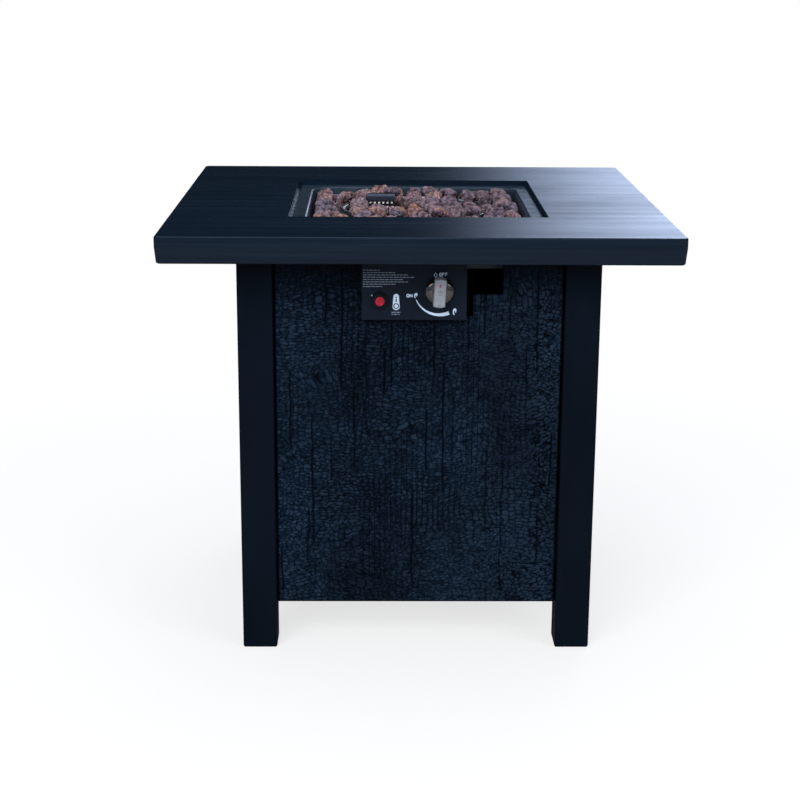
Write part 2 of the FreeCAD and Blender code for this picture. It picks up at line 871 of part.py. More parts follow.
def heat_shield():
    """Folded sheet under the pan that keeps heat off the gas cylinder."""
    half = shield_side / 2
    sheet = box(-half, half, -half, half, shield_under, shield_top)
    skirt = box(-half, half, -half, half, shield_top - shield_fold, shield_top)
    inside = half - shield_gauge
    skirt = skirt.cut(box(-inside, inside, -inside, inside, 0, table_height))
    made = fused([sheet, skirt])
    made = made.cut(rod(shield_hole_radius, V(0, 0, shield_under - 1), Z, 3))
    for x, y in spacer_spots():
        made = made.cut(rod(stud_radius + hole_clearance, V(x, y, shield_under - 1), Z, 3))
    return made


def spacer_spots():
    return [(x * spacer_offset, y * spacer_offset) for x in (-1, 1) for y in (-1, 1)]


def shield_spacers():
    """Four studs welded under the pan that carry the heat shield."""
    made = []
    for x, y in spacer_spots():
        post = rod(spacer_radius, V(x, y, shield_top), Z, shield_gap)
        made.append(fused([post, rod(stud_radius, V(x, y, shield_top), -Z, stud_length)]))
    return made


def shield_nuts():
    """Nuts on the studs under the heat shield."""
    made = []
    for x, y in spacer_spots():
        nut = hexagon(shield_nut_flats, V(x, y, shield_under), -Z, shield_nut_height)
        made.append(nut.cut(rod(stud_radius + thread_clearance, V(x, y, shield_top), -Z, stud_length + 2)))
    return made


def tank_shelf():
    """Shelf with a flanged round hole that the gas cylinder's foot drops into, and vent slots."""
    far = rail_face - rail_gauge - door_gap - shelf_gap
    near = leg_inner - rail_gauge - shelf_gap
    sheet = box(-far, far, -near, near, shelf_under, shelf_top)
    sheet = sheet.fuse(box(-near, near, -far, far, shelf_under, shelf_top))
    rim = rod(seat_hole_radius + shelf_gauge, V(0, 0, shelf_top - seat_rim_height), Z, seat_rim_height)
    boss_y = seat_hole_radius + shelf_gauge / 2
    clamp_z = clamp_level()
    boss = rod(clamp_boss_radius, V(0, boss_y, clamp_z), Y, clamp_boss_length)
    made = fused([sheet, rim, boss])
    made = made.cut(rod(seat_hole_radius, V(0, 0, shelf_top - seat_rim_height - 1), Z, seat_rim_height + 2))
    screw_start = V(0, seat_hole_radius - 2, clamp_z)
    made = made.cut(rod(clamp_radius + thread_clearance, screw_start, Y, clamp_boss_length + 6))
    made = made.cut(hinge_room())
    middle = (seat_hole_radius + far) / 2 + vent_shift
    for quarter in range(4):
        for number in range(vent_slots):
            x = (number - (vent_slots - 1) / 2) * vent_slot_pitch
            wide, long = vent_slot_width / 2, vent_slot_length / 2
            slot = rounded_plate(wide, long, vent_slot_corner, shelf_under - 1, shelf_top + 1)
            slot.translate(V(x, -middle, 0))
            slot.rotate(V(0, 0, 0), Z, 45 + 90 * quarter)
            made = made.cut(slot)
    for point in shelf_screw_spots():
        made = made.cut(rod(screw_radius + hole_clearance, point + Z, -Z, shelf_gauge + 2))
    return made


def clamp_level():
    """Height of the clamp screw, level with the middle of the shelf's rim."""
    return shelf_top - seat_rim_height / 2 - 1


def tank_clamp_screw():
    """Thumb screw that pins the cylinder's foot ring."""
    z = clamp_level()
    tip = seat_hole_radius + 0.3
    length = shelf_gauge + clamp_boss_length + clamp_travel + 4
    shank = rod(clamp_radius, V(0, tip, z), Y, length)
    half = clamp_wing_thick / 2
    near, far = tip + length, tip + length + clamp_wing_length
    wing = box(-clamp_wing_span / 2, clamp_wing_span / 2, near, far, z - half, z + half)

    def outer_corner(edge, middle):
        return edge.BoundBox.ZLength > 1 and middle.y > tip + length + 1

    wing = fillet(wing, clamp_wing_length * 0.45, outer_corner)
    hub = rod(clamp_radius + 1.5, V(0, tip + length, z), Y, clamp_wing_length * 0.6)
    return fused([shank, wing, hub])


def control_plate():
    """Folded steel plate with a shallow rim and a rear tab that screws to the front rail."""
    top = slab_under - plate_top_gap
    rim_back = plate_front + plate_return
    parts = [box(plate_left, plate_right, plate_front, plate_back, plate_bottom, top)]
    folds = [
        (plate_left, plate_left + plate_gauge, top),
        (plate_right - plate_gauge, plate_right, top),
        (plate_left, plate_right, plate_bottom + plate_gauge),
    ]
    for left, right, high in folds:
        parts.append(box(left, right, plate_front, rim_back, plate_bottom, high))
    tab_left, tab_right = cutout_left + 2, plate_right - plate_gauge
    tab_back = -rail_face
    parts.append(box(tab_left, tab_right, plate_front, tab_back, top - plate_gauge, top))
    parts.append(box(tab_left, tab_right, tab_back - plate_gauge, tab_back, top - plate_tab_height, top))
    plate = fused(parts)

    def front_corner(edge, middle):
        on_front = abs(middle.y - plate_front) < 0.01
        on_side = abs(middle.x - plate_left) < 0.01 or abs(middle.x - plate_right) < 0.01
        return on_front and (on_side or abs(middle.z - plate_bottom) < 0.01)

    plate = fillet(plate, plate_gauge * 0.7, front_corner)
    plate = plate.cut(rod(stem_hole_radius, V(knob_x, plate_front - 1, knob_z), Y, plate_gauge + 2))
    igniter = V(igniter_x, plate_front - 1, igniter_z)
    plate = plate.cut(rod(barrel_radius + hole_clearance, igniter, Y, plate_gauge + 2))
    for point in valve_screw_spots():
        plate = plate.cut(rod(screw_radius + hole_clearance, point - Y, Y, plate_gauge + 2))
    for point in plate_screw_spots():
        plate = plate.cut(rod(screw_radius + hole_clearance, point - Y * 10, Y, 20))
    return plate


def plate_screw_spots():
    """Screws from inside through the front rail into the plate's tab."""
    return [V(x, -rail_face + rail_gauge, screw_z_top) for x in (cutout_left + 12, plate_right - 12)]


def valve_screw_spots():
    """Screws that hold the valve, under the knob."""
    half = valve_ear_span / 2
    return [V(knob_x, plate_front, knob_z - half), V(knob_x, plate_front, knob_z + half)]


def magnet_rear():
    """The rear end of the valve's magnet unit."""
    return plate_back + valve_ear_thick + valve_depth + magnet_length


def valve_body():
    """Gas valve: ears, die-cast body, magnet unit at the rear, inlet below and outlet at the side."""
    front = plate_back
    ear_half = valve_ear_span / 2
    low, high = knob_z - ear_half - valve_ear_round, knob_z + ear_half + valve_ear_round
    half_ear = valve_ear_width / 2
    ears = box(knob_x - half_ear, knob_x + half_ear, front, front + valve_ear_thick, low, high)
    ears = fillet(ears, valve_ear_round * 0.9, lambda edge, middle: edge.BoundBox.YLength > 1)
    half_w, half_h = valve_width / 2, valve_height / 2
    block_front = front + valve_ear_thick
    neck = rod(valve_neck_radius, V(knob_x, front, knob_z), Y, valve_neck_length)
    near, far = front + valve_neck_length - 3, block_front + valve_depth
    block = box(knob_x - half_w, knob_x + half_w, near, far, knob_z - half_h, knob_z + half_h)
    block = fillet(block, valve_round, lambda edge, middle: edge.BoundBox.YLength > 1)
    magnet = rod(magnet_radius, V(knob_x, block_front + valve_depth - 1, knob_z), Y, magnet_length + 1)
    lead_nut = hexagon(lead_nut_flats, V(knob_x, magnet_rear() - 1, knob_z), Y, lead_nut_length + 1)
    outlet = outlet_point()
    boss = rod(outlet_boss_radius, outlet + X * (outlet_boss_length + 1), -X, outlet_boss_length + 1)
    union = hexagon(union_flats, outlet, -X, union_length)
    made = fused([ears, neck, block, magnet, lead_nut, boss, union])
    made = made.cut(rod(pipe_radius + thread_clearance, outlet - X, -X, union_length + 2))
    lead_end = V(knob_x, magnet_rear() + lead_nut_length - 4, knob_z)
    made = made.cut(rod(probe_lead_radius + thread_clearance, lead_end, Y, 8))
    stem_end = stem_rear() + push_travel + 0.5
    made = made.cut(rod(stem_radius + pin_clearance, V(knob_x, front - 1, knob_z), Y, stem_end - front + 1))
    plunger_end = stem_rear() + 0.1 + plunger_length + push_travel + 0.5
    bore = plunger_radius + pin_clearance
    made = made.cut(rod(bore, V(knob_x, stem_end - 1, knob_z), Y, plunger_end - stem_end + 1))
    for point in valve_screw_spots():
        start = V(point.x, front - 1, point.z)
        made = made.cut(rod(screw_radius + thread_clearance, start, Y, valve_ear_thick + 2))
    inlet = inlet_point()
    return made.cut(rod(inlet_radius + thread_clearance, inlet - Z, Z, inlet_bite + 2))


def inlet_point():
    """The middle of the valve's underside, where the inlet fitting screws in."""
    return V(knob_x, plate_back + inlet_behind_front, knob_z - valve_height / 2)


def gas_inlet():
    """Flare fitting under the valve that takes the regulator hose."""
    top = inlet_point()
    made = fused([
        rod(inlet_radius, top + Z * inlet_bite, -Z, inlet_bite + 1),
        hexagon(inlet_hex_flats, top, -Z, inlet_hex_length),
        rod(inlet_radius, top - Z * inlet_hex_length, -Z, inlet_length),
        Part.makeCone(inlet_radius, inlet_cone, inlet_cone, top - Z * (inlet_hex_length + inlet_length), -Z),
    ])
    depth = inlet_hex_length + inlet_length + inlet_cone
    return made.cut(rod(inlet_bore, top - Z * (depth + 1), Z, depth - 1))


def stem_rear():
    """The rear end of the valve stem at rest."""
    return knob_face() + stem_length


def knob_face():
    """The flat seat of the grip on the knob's disc."""
    return plate_front - knob_gap - knob_skirt - knob_dome


def as_left(shape):
    """The knob or stem as it was left, a little past the off mark."""
    shape.rotate(V(knob_x, 0, knob_z), Y, grip_turn)
    return shape


def valve_stem():
    """Stem with a flat that drives the knob."""
    start = knob_face() + 1.5
    shaft = rod(stem_radius, V(knob_x, start, knob_z), Y, stem_rear() - start)
    flat = box(knob_x - 9, knob_x + 9, start - 1, start + 9, knob_z + stem_radius * 0.6, knob_z + 9)
    return as_left(shaft.cut(flat))


def valve_plunger():
    """Rod that the stem pushes to open the flame-failure magnet."""
    return rod(plunger_radius, V(knob_x, stem_rear() + 0.1, knob_z), Y, plunger_length)


def valve_screws():
    """Two screws through the plate into the valve's ears, hidden by the knob."""
    return [screw(point, Y, plate_gauge + valve_ear_thick + 1) for point in valve_screw_spots()]


def knob_disc():
    """Hollow disc with a domed face and a solid hub."""
    rim = plate_front - knob_gap
    skirt_top = rim - knob_skirt
    face = knob_face()
    inner = knob_radius - knob_wall
    bend = V(knob_radius * 0.8, (skirt_top + face) / 2 - 1.0, 0)
    edges = [
        Part.LineSegment(V(0, face, 0), V(grip_width / 2, face, 0)).toShape(),
        Part.Arc(V(grip_width / 2, face, 0), bend, V(knob_radius, skirt_top, 0)).toShape(),
        Part.LineSegment(V(knob_radius, skirt_top, 0), V(knob_radius, rim, 0)).toShape(),
        Part.LineSegment(V(knob_radius, rim, 0), V(inner, rim, 0)).toShape(),
        Part.LineSegment(V(inner, rim, 0), V(inner, skirt_top, 0)).toShape(),
        Part.LineSegment(V(inner, skirt_top, 0), V(knob_hub_radius, skirt_top, 0)).toShape(),
        Part.LineSegment(V(knob_hub_radius, skirt_top, 0), V(knob_hub_radius, rim - 0.5, 0)).toShape(),
        Part.LineSegment(V(knob_hub_radius, rim - 0.5, 0), V(0, rim - 0.5, 0)).toShape(),
        Part.LineSegment(V(0, rim - 0.5, 0), V(0, face, 0)).toShape(),
    ]
    disc = Part.Face(Part.Wire(edges)).revolve(V(0, 0, 0), Y, 360)
    disc.translate(V(knob_x, 0, knob_z))
    return disc


def control_knob():
    """The knob's disc with a socket that fits the stem and its flat."""
    disc = knob_disc()
    face, rim = knob_face(), plate_front - knob_gap
    socket = rod(stem_radius + thread_clearance, V(knob_x, face + 1.4, knob_z), Y, 20)
    flat_level = knob_z + stem_radius * 0.6 + thread_clearance
    key = box(knob_x - 9, knob_x + 9, face, rim + 1, flat_level, flat_level + 9)
    return as_left(disc.cut(socket.cut(key)))


def knob_grip():
    """Flat satin bar across the knob, with ends on the knob's circle."""
    front, back = knob_face() - grip_height, knob_face() + knob_dome
    half = grip_width / 2
    bar = box(knob_x - half, knob_x + half, front, back, knob_z - knob_radius, knob_z + knob_radius)
    bar = bar.common(rod(knob_radius, V(knob_x, front, knob_z), Y, back - front))

    def front_edge(edge, middle):
        return abs(middle.y - front) < 0.01

    return as_left(fillet(bar, grip_round, front_edge).cut(knob_disc()))


def barrel_rear():
    """The rear end of the igniter's barrel."""
    return plate_front + barrel_length


def igniter_housing():
    """Plastic barrel with a bezel, bored for the cap and the battery."""
    centre = V(igniter_x, plate_front, igniter_z)
    bezel = rod(bezel_radius, centre, -Y, bezel_thick)
    bezel = fillet(bezel, bezel_thick * 0.4, lambda edge, middle: middle.y < plate_front - 1)
    barrel = rod(barrel_radius, centre, Y, barrel_length)
    made = fused([bezel, barrel])
    mouth = centre - Y * bezel_thick
    well = cap_spigot_length + 1 + battery_clearance
    made = made.cut(rod(cap_spigot_radius + button_clearance, mouth - Y, Y, well))
    bore = battery_radius + battery_clearance
    depth = battery_rear() + contact_thick - mouth.y
    made = made.cut(rod(bore, mouth, Y, depth))
    return made.cut(rod(terminal_radius + thread_clearance, mouth, Y, barrel_length + 10))


def battery_front():
    """The front of the battery's case, just behind the pressed button."""
    button_rear = plate_front - bezel_thick - cap_thick + button_seat + button_stem
    return button_rear + button_travel + battery_nub_length + battery_clearance


def battery_rear():
    return battery_front() + battery_length


def igniter_nut():
    """Hex nut that clamps the igniter behind the plate."""
    body = hexagon(igniter_nut_flats, V(igniter_x, plate_back, igniter_z), Y, igniter_nut_thick)
    start = V(igniter_x, plate_back - 1, igniter_z)
    return body.cut(rod(barrel_radius + thread_clearance, start, Y, igniter_nut_thick + 2))


def igniter_cap():
    """Screw cap that carries the button and closes the battery well."""
    seat = plate_front - bezel_thick
    centre = V(igniter_x, seat, igniter_z)
    disc = rod(cap_radius, centre, -Y, cap_thick)
    disc = fillet(disc, cap_round, lambda edge, middle: middle.y < seat - 1)
    made = fused([disc, rod(cap_spigot_radius, centre, Y, cap_spigot_length)])
    front = centre - Y * cap_thick
    made = made.cut(rod(button_radius + button_clearance, front - Y, Y, cap_thick + cap_spigot_length + 5))
    wide = button_radius + button_collar + button_clearance
    return made.cut(rod(wide, front + Y * button_seat, Y, cap_thick + cap_spigot_length + 5))


def igniter_button():
    """Red push button with a collar that keeps it in the cap."""
    front = plate_front - bezel_thick - cap_thick
    face = front - button_proud
    stem = rod(button_radius, V(igniter_x, face, igniter_z), Y, button_proud + button_seat + button_stem)
    stem = fillet(stem, 1.0, lambda edge, middle: middle.y < face + 0.5)
    dish = Part.makeSphere(dish_radius, V(igniter_x, face - dish_radius + dish_depth, igniter_z))
    seat = V(igniter_x, front + button_seat + 0.1, igniter_z)
    collar = rod(button_radius + button_collar, seat, Y, button_collar_length)
    return fused([stem, collar]).cut(dish)


def battery():
    """Small round cell with its contact nub to the front."""
    start = V(igniter_x, battery_front(), igniter_z)
    case = rod(battery_radius, start, Y, battery_length)
    return fused([case, rod(battery_nub_radius, start + Y * 0.2, -Y, battery_nub_length + 0.2)])


def battery_contact():
    """Disc contact behind the cell with a terminal pin to the spark lead."""
    start = V(igniter_x, battery_rear(), igniter_z)
    disc = rod(battery_radius - 0.6, start, Y, contact_thick)
    pin = rod(terminal_radius, start, Y, barrel_rear() - battery_rear() + terminal_length)
    return fused([disc, pin])


def door_outline():
    """The door's bottom and top edges."""
    return panel_bottom + door_bottom_lift, panel_top - door_top_drop


def door_pivot():
    """The door's hinge line on the back, in plan."""
    return V(-panel_half + pivot_from_edge, panel_face - pivot_from_face, 0)


def door_panel():
    """Textured board that closes the back."""
    low, high = door_outline()
    board = box(-panel_half, panel_half, rail_face, panel_face, low, high)
    start = V(panel_half - door_knob_from_edge, rail_face - 1, door_knob_z)
    return board.cut(rod(screw_radius + hole_clearance, start, Y, panel_thick + 2))


def door_straps():
    """Two angle straps on the door, each with its pivot pin."""
    low, high = door_outline()
    pivot = door_pivot()
    x0, x1 = -panel_half + 0.5, -panel_half + 0.5 + strap_width
    inner = rail_face - strap_gauge
    pin_top = slab_under - rail_gauge - 0.2
    top = fused([
        box(x0, x1, inner, rail_face, high - strap_height, high + strap_gauge),
        box(x0, x1, inner, panel_face - 0.5, high, high + strap_gauge),
        rod(pin_radius, V(pivot.x, pivot.y, high + strap_gauge / 2), Z, pin_top - high - strap_gauge / 2),
    ])
    pin_end = panel_bottom - hinge_plate_gauge
    bottom = fused([
        box(x0, x1, inner, rail_face, low - strap_gauge, low + strap_height),
        box(x0, x1, inner, panel_face - 0.5, low - strap_gauge, low),
        rod(pin_radius, V(pivot.x, pivot.y, pin_end), Z, low - strap_gauge / 2 - pin_end),
    ])
    return [top, bottom]


def hinge_plates():
    """Two plates on the back rails with bores for the door's pins."""
    pivot = door_pivot()
    x0, x1 = -leg_inner + rail_gauge + 0.5, -leg_inner + hinge_relief - 5
    made = []
    for level in (slab_under - rail_gauge - hinge_plate_gauge, panel_bottom - hinge_plate_gauge):
        y0, y1 = rail_face - rail_flange, rail_face + hinge_plate_out
        plate = box(x0, x1, y0, y1, level, level + hinge_plate_gauge)
        start = V(pivot.x, pivot.y, level - 1)
        made.append(plate.cut(rod(pin_radius + pin_clearance, start, Z, hinge_plate_gauge + 2)))
    return made


def hinge_washer():
    """Plain washer that carries the door on the lower hinge plate."""
    pivot = door_pivot()
    ring = rod(door_washer_radius, V(pivot.x, pivot.y, panel_bottom), Z, door_washer_thick)
    return ring.cut(rod(pin_radius + pin_clearance, V(pivot.x, pivot.y, panel_bottom - 1), Z, 4))


def door_catch():
    """Magnetic catch with two ears on the top back rail."""
    face = rail_face - strike_thick - door_gap
    top = slab_under - top_rail_drop
    left, right = catch_x - catch_width / 2, catch_x + catch_width / 2
    body = box(left, right, face - catch_depth, face, top - catch_height, top)
    body = fillet(body, 1.5, lambda edge, middle: edge.BoundBox.YLength > 1 and middle.z < top - 1)
    inner = rail_face - door_gap - rail_gauge
    ears = []
    for side in (-1, 1):
        x0, x1 = sorted((catch_x + side * catch_width / 2, catch_x + side * (catch_width / 2 - 10)))
        ears.append(box(x0, x1, inner - 3, inner, top - 1, top + top_rail_drop - rail_gauge - 1))
    return fused([body] + ears)


def door_strike():
    """Steel plate on the door that the catch pulls on."""
    top = slab_under - top_rail_drop - 1
    left, right = catch_x - catch_width / 2 + 3, catch_x + catch_width / 2 - 3
    return box(left, right, rail_face - strike_thick, rail_face, top - catch_height + 2, top)


def door_knob():
    """Round pull on the door."""
    x = panel_half - door_knob_from_edge
    neck, head = door_knob_neck, door_knob_radius
    reach = door_knob_reach
    points = [V(0, 0, 0), V(neck + 3, 0, 0), V(neck, reach * 0.35, 0), V(head, reach * 0.62, 0)]
    crown, rim = V(head * 0.8, reach * 0.9, 0), V(head * 0.3, reach, 0)
    edges = [Part.LineSegment(a, b).toShape() for a, b in zip(points, points[1:])]
    edges.append(Part.Arc(points[-1], crown, rim).toShape())
    edges.append(Part.LineSegment(rim, V(0, reach, 0)).toShape())
    edges.append(Part.LineSegment(V(0, reach, 0), points[0]).toShape())
    made = Part.Face(Part.Wire(edges)).revolve(V(0, 0, 0), Y, 360)
    made = made.cut(rod(screw_radius + thread_clearance, V(0, -1, 0), Y, 11))
    made.translate(V(x, panel_face, door_knob_z))
    return made


def door_knob_screw():
    """Screw from inside the door into the pull."""
    x = panel_half - door_knob_from_edge
    return screw(V(x, rail_face, door_knob_z), Y, panel_thick + 9)


def frame_bolts():
    """Bolts at the ends of all eight rails."""
    made = []
    for quarter in range(4):
        for point, direction in leg_bolt_spots():
            made.append(turned(bolt(point, direction), quarter))
    return made


def slab_bolts():
    """Bolts up through the top rails into the slab."""
    return [bolt(point, direction) for point, direction in top_screw_spots()]


def panel_screws():
    """Screws from inside into the fixed panels and the control plate."""
    made = []
    for quarter in (0, 1, 3):
        for point in panel_screw_spots():
            made.append(turned(screw(point, -Y, rail_gauge + screw_bite), quarter))
    for point in plate_screw_spots():
        made.append(screw(point, -Y, rail_gauge + plate_gauge + 1))
    return made


def shelf_screws():
    """Screws that hold the shelf on the rails."""
    return [screw(point, -Z, shelf_gauge + rail_gauge + 0.5) for point in shelf_screw_spots()]


def clip(faces, point, normal):
    """Cuts a convex body, given as loops of points, by a plane and keeps what lies behind it."""
    kept, rim = [], []
    for loop in faces:
        out = []
        for here, there in zip(loop, loop[1:] + loop[:1]):
            a, b = (here - point).dot(normal), (there - point).dot(normal)
            if a <= 0:
                out.append(here)
            if a * b < 0:
                crossing = here + (there - here) * (a / (a - b))
                out.append(crossing)
                rim.append(crossing)
            elif a == 0:
                rim.append(here)
        if len(out) > 2:
            kept.append(out)
    if len(rim) > 2:
        middle = sum(rim, V(0, 0, 0)) * (1 / len(rim))
        side = (rim[0] - middle).normalize()
        other = normal.cross(side)
        ordered = sorted(rim, key=lambda p: math.atan2((p - middle).dot(other), (p - middle).dot(side)))
        lid = []
        for place in ordered:
            if not lid or (place - lid[-1]).Length > 1e-6:
                lid.append(place)
        if (lid[0] - lid[-1]).Length < 1e-6:
            lid.pop()
        if len(lid) > 2:
            kept.append(lid)
    return kept


def cube_loops(centre, half):
    """The six faces of a cube as loops of points."""
    loops = []
    for axis, one, two in ((X, Y, Z), (Y, Z, X), (Z, X, Y)):
        for sign in (-1, 1):
            middle = centre + axis * (sign * half)
            corners = ((-1, -1), (1, -1), (1, 1), (-1, 1))
            loops.append([middle + one * (half * a) + two * (half * b) for a, b in corners])
    return loops


def solid_from(faces):
    """A solid from the flat faces of a convex body."""
    shell = Part.makeShell([Part.Face(Part.makePolygon(loop + loop[:1])) for loop in faces])
    shell.sewShape()
    solid = Part.Solid(shell)
    if solid.Volume < 0:
        solid.reverse()
    return solid


def burner_planes(centre):
    """Planes that keep a rock clear of the ring, its spokes, its hub and the guard."""
    planes = []

    def away(nearest, radius):
        gap = centre - nearest
        out = gap.normalize()
        planes.append((nearest + out * (radius + rock_gap), -out))

    around = math.atan2(centre.y, centre.x)
    for degrees in range(-20, 21, 4):
        angle = around + math.radians(degrees)
        on_ring = V(math.cos(angle), math.sin(angle), 0) * ring_radius + Z * ring_z
        away(on_ring, ring_tube_radius + 0.1)
    away(V(0, max(-ring_radius, min(ring_radius, centre.y)), ring_z), spoke_radius)
    away(V(0, 0, min(centre.z, ring_z)), hub_collar_radius)
    x = max(guard_x - guard_length / 2, min(guard_x + guard_length / 2, centre.x))
    y = max(guard_y - guard_radius - guard_foot, min(guard_y + guard_radius + guard_foot, centre.y))
    away(V(x, y, centre.z), 0)
    return planes


def wall_planes(half, corner):
    """Planes around a square room with round corners."""
    planes = []
    for quarter in range(4):
        for degrees in (0, 18, 36, 54, 72):
            angle = math.radians(90 * quarter + degrees)
            out = V(math.cos(angle), math.sin(angle), 0)
            base = math.radians(90 * quarter)
            first = V(math.cos(base), math.sin(base), 0)
            second = V(-math.sin(base), math.cos(base), 0)
            middle = (first + second) * (half - corner)
            planes.append((middle + out * corner, out))
    return planes


def rock_seeds(chance):
    """Middles and radii of the rocks on top and of the larger ones on the pan's floor."""
    room = pan_floor_side / 2 - rock_gap
    count = round(2 * room / rock_pitch)
    pitch = 2 * room / count
    top = []
    for row in range(count):
        for column in range(count):
            x = (column + 0.5) * pitch - room + chance.uniform(-1, 1) * rock_jitter
            y = (row + 0.5) * pitch - room + chance.uniform(-1, 1) * rock_jitter
            x = max(-room + pitch * 0.4, min(room - pitch * 0.4, x))
            y = max(-room + pitch * 0.4, min(room - pitch * 0.4, y))
            z = ring_z - rock_sink + heap(x, y, room) + chance.uniform(-1, 1) * rock_jitter * 0.6
            top.append([x, y, z, rock_radius * chance.uniform(0.9, 1.08)])
    base_room = room - pan_floor_round
    base_count = round(2 * base_room / base_rock_pitch)
    base_pitch = 2 * base_room / base_count
    base = []
    for row in range(base_count):
        for column in range(base_count):
            x = (column + 0.5) * base_pitch - base_room + chance.uniform(-1, 1) * rock_jitter
            y = (row + 0.5) * base_pitch - base_room + chance.uniform(-1, 1) * rock_jitter
            base.append([x, y, pan_floor_top + base_rock_height / 2, base_rock_pitch * 0.62])
    return top, base


def heap(x, y, room):
    """How far the bed rises or falls from its middle level, more so towards the back wall."""
    return rock_heap * math.cos(2 * math.pi * (x - heap_x) / heap_pitch) * max(0, y) / room


def clear_of_burner(seeds):
    """Moves rock middles off the burner: beside the ring at its left and right ends, on top elsewhere."""
    kept = []
    for x, y, z, radius in seeds:
        beside_guard = abs(x - guard_x) < guard_length / 2 + rock_radius / 2
        if beside_guard and abs(y - guard_y) < guard_radius + rock_radius * 0.7:
            continue
        if beside_guard and 0 < guard_y - y < 3 * rock_radius:
            z -= rock_heap
        reach = math.hypot(x, y)
        off = reach - ring_radius
        bare = abs(y) < bare_ring_half
        close = ring_tube_radius + rock_radius * 0.62
        if abs(off) < close and bare:
            goal = ring_radius + math.copysign(close, off)
            x, y = x * goal / reach, y * goal / reach
        elif abs(off) < close * 0.8:
            z = ring_z + ring_tube_radius + rock_radius * 0.16
            radius = radius * 0.76
        elif abs(x) < spoke_radius + rock_radius * 0.55 and reach < ring_radius:
            z = ring_z + spoke_radius + rock_radius * 0.16
            radius = radius * 0.76
        kept.append([x, y, z, radius])
    return kept


def rocks(chance, seeds, others, half, corner, facets):
    """Convex rocks, each cut back from its neighbours, the pan and the burner."""
    made = []
    walls = wall_planes(half, corner)
    for number, (x, y, z, radius) in enumerate(seeds):
        centre = V(x, y, z)
        faces = cube_loops(centre, radius)
        spin = chance.uniform(0, math.tau)
        for step in range(facets):
            height = 1 - 2 * (step + 0.5) / facets
            angle = spin + step * 2.39996 + chance.uniform(-0.3, 0.3)
            level = math.sqrt(1 - height * height)
            out = V(level * math.cos(angle), level * math.sin(angle), height)
            faces = clip(faces, centre + out * (radius * chance.uniform(0.84, 1.0)), out)
        planes = walls + burner_planes(centre)
        planes.append((V(0, 0, pan_floor_top + rock_gap / 2), -Z))
        planes.append((V(0, 0, table_height - rock_gap), Z))
        for other in seeds[:number] + seeds[number + 1:] + others:
            gap = V(other[0], other[1], other[2]) - centre
            if gap.Length < 2.2 * (radius + 12):
                out = V(gap).normalize()
                planes.append((centre + out * (gap.Length / 2 - rock_gap / 2), out))
        for point, out in planes:
            faces = clip(faces, point, out)
        if len(faces) > 3:
            made.append(solid_from(faces))
    return made


def lava_rocks():
    """The rock bed: small rocks on top and larger ones below."""
    chance = random.Random(rock_seed)
    top, base = rock_seeds(chance)
    top = clear_of_burner(top)
    base = [seed for seed in base if not (
        abs(seed[0] - guard_x) < guard_length / 2 + 12 and abs(seed[1] - guard_y) < guard_radius + 16
    ) and math.hypot(seed[0], seed[1]) > hub_collar_radius + 8]
    half = pan_floor_side / 2 - rock_gap
    corner = pan_corner - (pan_mouth - pan_floor_side) / 2
    above = rocks(chance, top, base, half, corner, rock_facets)
    below = rocks(chance, base, top, half - pan_floor_round, corner, 6)
    return above, below


def export(name, solids):
    """Writes one node as a STEP file."""
    shape = solids if isinstance(solids, Part.Shape) else Part.makeCompound(solids)
    bad = [number for number, solid in enumerate(shape.Solids) if not solid.isValid()]
    if bad or not shape.Solids:
        print("check", name, "solids", len(shape.Solids), "bad", bad)
    shape.exportStep(os.path.join("parts", name + ".step"))


def main():
    os.makedirs("parts", exist_ok=True)
    export("tabletop", tabletop())
    corners = ["front_left", "front_right", "back_right", "back_left"]
    one_leg, one_foot = leg(), foot()
    for quarter, corner in enumerate(corners):
        export("leg_" + corner, turned(one_leg, quarter))
    export("leg_feet", [turned(one_foot, quarter) for quarter in range(4)])
    for quarter, side in enumerate(["front", "right", "back", "left"]):
        export("top_rail_" + side, turned(rail(True, side), quarter))
        export("bottom_rail_" + side, turned(rail(False, side), quarter))
    export("front_panel", front_panel())
    export("right_panel", turned(panel(), 1))
    export("left_panel", turned(panel(), 3))
    export("burner_pan", burner_pan())
    export("ring_burner", ring_burner())
    export("burner_locknut", burner_locknut())
    export("gas_elbow", gas_elbow())
    export("gas_pipe", gas_pipe())
    export("pilot_guard", pilot_guard())
    export("sensor_bracket", sensor_bracket())
    export("spark_electrode", spark_electrode())
    export("flame_sensor", flame_sensor())
    export("ignition_lead", ignition_lead())
    export("sensor_lead", sensor_lead())
    export("heat_shield", heat_shield())
    export("shield_spacers", shield_spacers())
    export("shield_nuts", shield_nuts())
    export("tank_shelf", tank_shelf())
    export("tank_clamp_screw", tank_clamp_screw())
    export("control_plate", control_plate())
    export("valve_body", valve_body())
    export("gas_inlet", gas_inlet())
    export("valve_stem", valve_stem())
    export("valve_plunger", valve_plunger())
    export("valve_screws", valve_screws())
    export("control_knob", control_knob())
    export("knob_grip", knob_grip())
    export("igniter_housing", igniter_housing())
    export("igniter_nut", igniter_nut())
    export("igniter_cap", igniter_cap())
    export("igniter_button", igniter_button())
    export("battery", battery())
    export("battery_contact", battery_contact())
    export("door_panel", door_panel())
    export("door_straps", door_straps())
    export("hinge_plates", hinge_plates())
    export("hinge_washer", hinge_washer())
    export("door_catch", door_catch())
    export("door_strike", door_strike())
    export("door_knob", door_knob())
    export("door_knob_screw", door_knob_screw())
    export("frame_bolts", frame_bolts() + slab_bolts())
    export("panel_screws", panel_screws() + shelf_screws())
    above, below = lava_rocks()
    export("lava_rocks_top", above)
    export("lava_rocks_base", below)
    print("rocks", len(above), len(below))


main()
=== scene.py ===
import bpy
import bmesh
import json
import math
import numpy as np
from mathutils import Matrix, Vector


